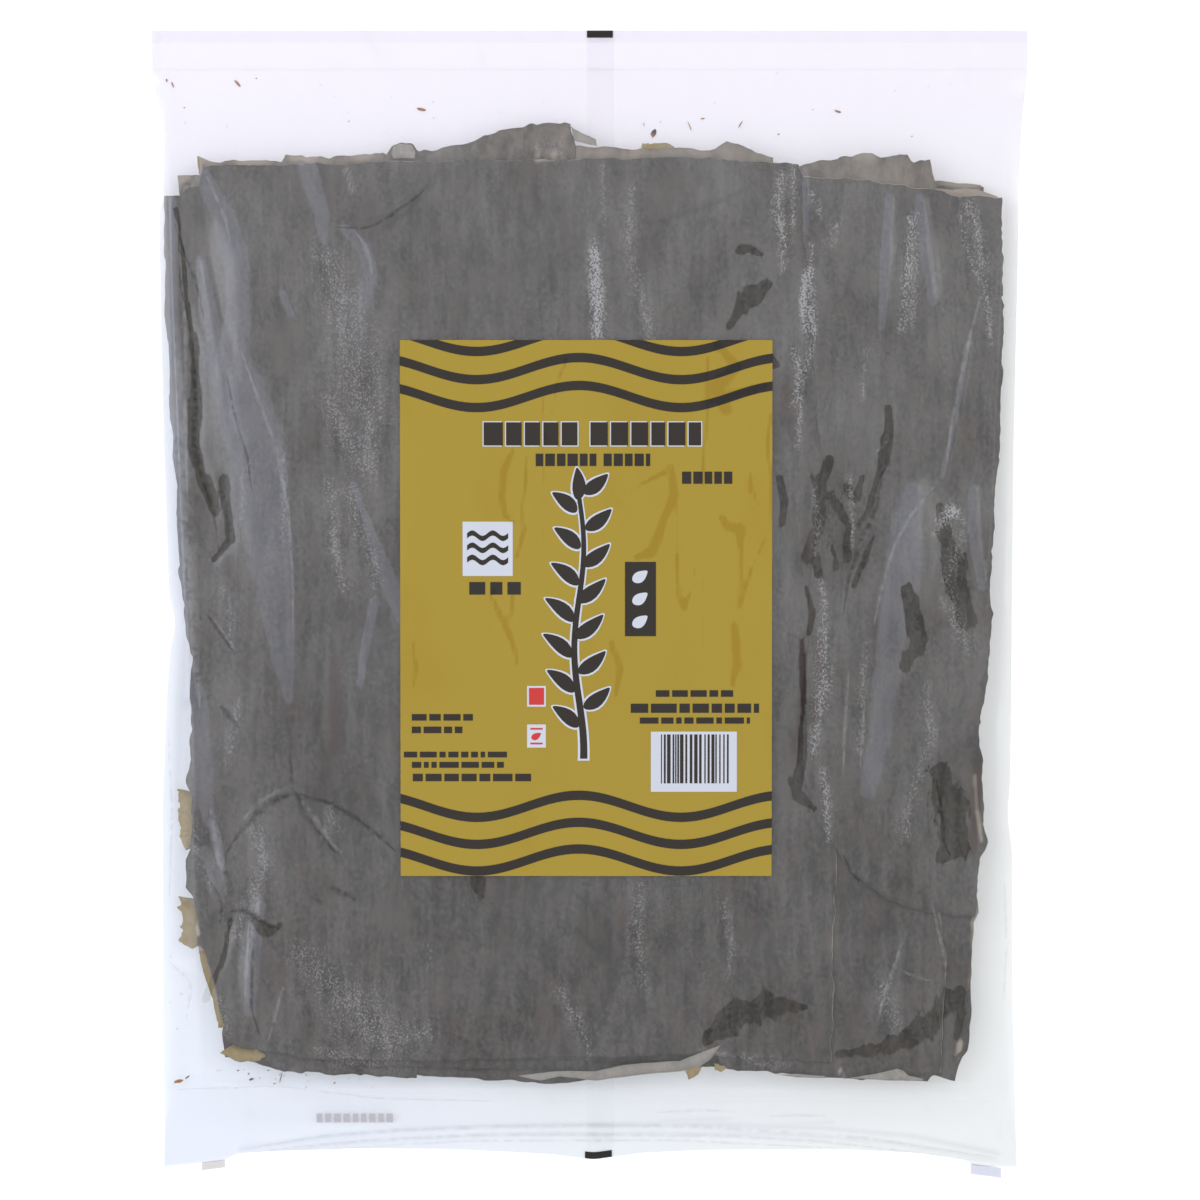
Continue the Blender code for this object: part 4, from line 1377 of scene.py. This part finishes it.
# a narrow strip of film laid over or under the bag
def addStrip(name, strip, lift, material, under=False):
    shape = bmesh.new()
    addBlock(shape, *strip, ends["cell"])
    x, y = placesOf(shape)
    mesh = meshFrom(name, shape)
    onSkirt = smooth((film["bottomSeal"] - y) / (halfLength + film["bottomSeal"]))
    y = y + edgeAt(film["footRise"], x, 2.0) * onSkirt
    height = underHeight(x, y) if under else filmTopHeight(x, y)
    movePoints(mesh, x, y, height + lift)
    if under:
        mesh.flip_normals()
    return addPiece(name, mesh, material)


def makeEnds():
    addStrip("backSeam", ends["backSeam"], ends["seamLift"], sealedFilm, under=True)
    for name in ("topBand", "topSeal", "lowSealLeft", "lowSealRight"):
        addStrip(name, ends[name], ends["sealLift"], sealedFilm)
    for index, flap in enumerate(ends["footFlaps"]):  # film turned under at both lower corners
        addStrip(f"footFlap{index}", flap, ends["flapLift"], flapFilm)
    for index, mark in enumerate(ends["marks"]):
        made = addStrip(f"endMark{index}", mark, ends["markLift"], darkInk)
        addValues(made.data, "deep", np.ones(len(made.data.vertices)))
    dashes = bmesh.new()
    addWords(dashes, 71, *ends["dateDashes"], 2.4, 3.4, 1.3)
    layPrint("dateDashes", dashes, ends["dashLift"], greyInk)


makeEnds()
print("seals and marks made")


# ---- floor, light and camera

studio = {
    "world": (0.97, 0.98, 1.0),
    "worldStrength": 0.98,
    "floorAlbedo": 0.9,
    "floorGlow": 0.35,  # a light table's faint glow, which washes out the bag's own shadow
    "floorHalf": 4.0,  # in metres, as the lamps are
    # name, place, size, power and colour of each lamp
    "lamps": (
        ("softboxLeft", (-2.0, 0.4, 1.8), 1.6, 26.0, (0.86, 0.90, 1.0)),
        ("softboxRight", (2.0, 0.8, 2.2), 1.4, 12.0, (1.0, 0.99, 0.96)),
    ),
    "lens": 180.0,
    "sensor": 36.0,
    "viewWidth": 558.4,
    "viewCentre": (4.9, -0.7),
}


def makeStudio():
    scene.view_settings.view_transform = "Standard"
    world = bpy.data.worlds.new("studio")
    world.use_nodes = True
    world.node_tree.nodes["Background"].inputs["Color"].default_value = (*studio["world"], 1)
    world.node_tree.nodes["Background"].inputs["Strength"].default_value = studio["worldStrength"]
    scene.world = world
    shape = bmesh.new()
    bmesh.ops.create_grid(shape, x_segments=1, y_segments=1, size=studio["floorHalf"])
    mesh = meshFrom("floor", shape)
    material, _, shader = newMaterial("paleFloor")
    albedo = studio["floorAlbedo"]
    shader.inputs["Base Color"].default_value = (albedo, albedo, albedo, 1)
    shader.inputs["Roughness"].default_value = 0.9
    shader.inputs["Specular IOR Level"].default_value = 0.1
    shader.inputs["Emission Color"].default_value = (1, 1, 1, 1)
    shader.inputs["Emission Strength"].default_value = studio["floorGlow"]
    mesh.materials.append(material)
    floor = bpy.data.objects.new("floor", mesh)
    scene.collection.objects.link(floor)
    for name, place, size, power, colour in studio["lamps"]:
        light = bpy.data.lights.new(name, "AREA")
        light.shape = "SQUARE"
        light.size = size
        light.energy = power
        light.color = colour
        lamp = bpy.data.objects.new(name, light)
        lamp.location = place
        aim = -lamp.location
        lamp.rotation_euler = aim.to_track_quat("-Z", "Y").to_euler()
        scene.collection.objects.link(lamp)
    lens = bpy.data.cameras.new("camera")
    lens.lens = studio["lens"]
    lens.sensor_width = studio["sensor"]
    camera = bpy.data.objects.new("camera", lens)
    height = studio["lens"] / studio["sensor"] * studio["viewWidth"]
    camera.location = [reach * mm for reach in (*studio["viewCentre"], height)]
    scene.collection.objects.link(camera)
    scene.camera = camera


makeStudio()
print("studio made")
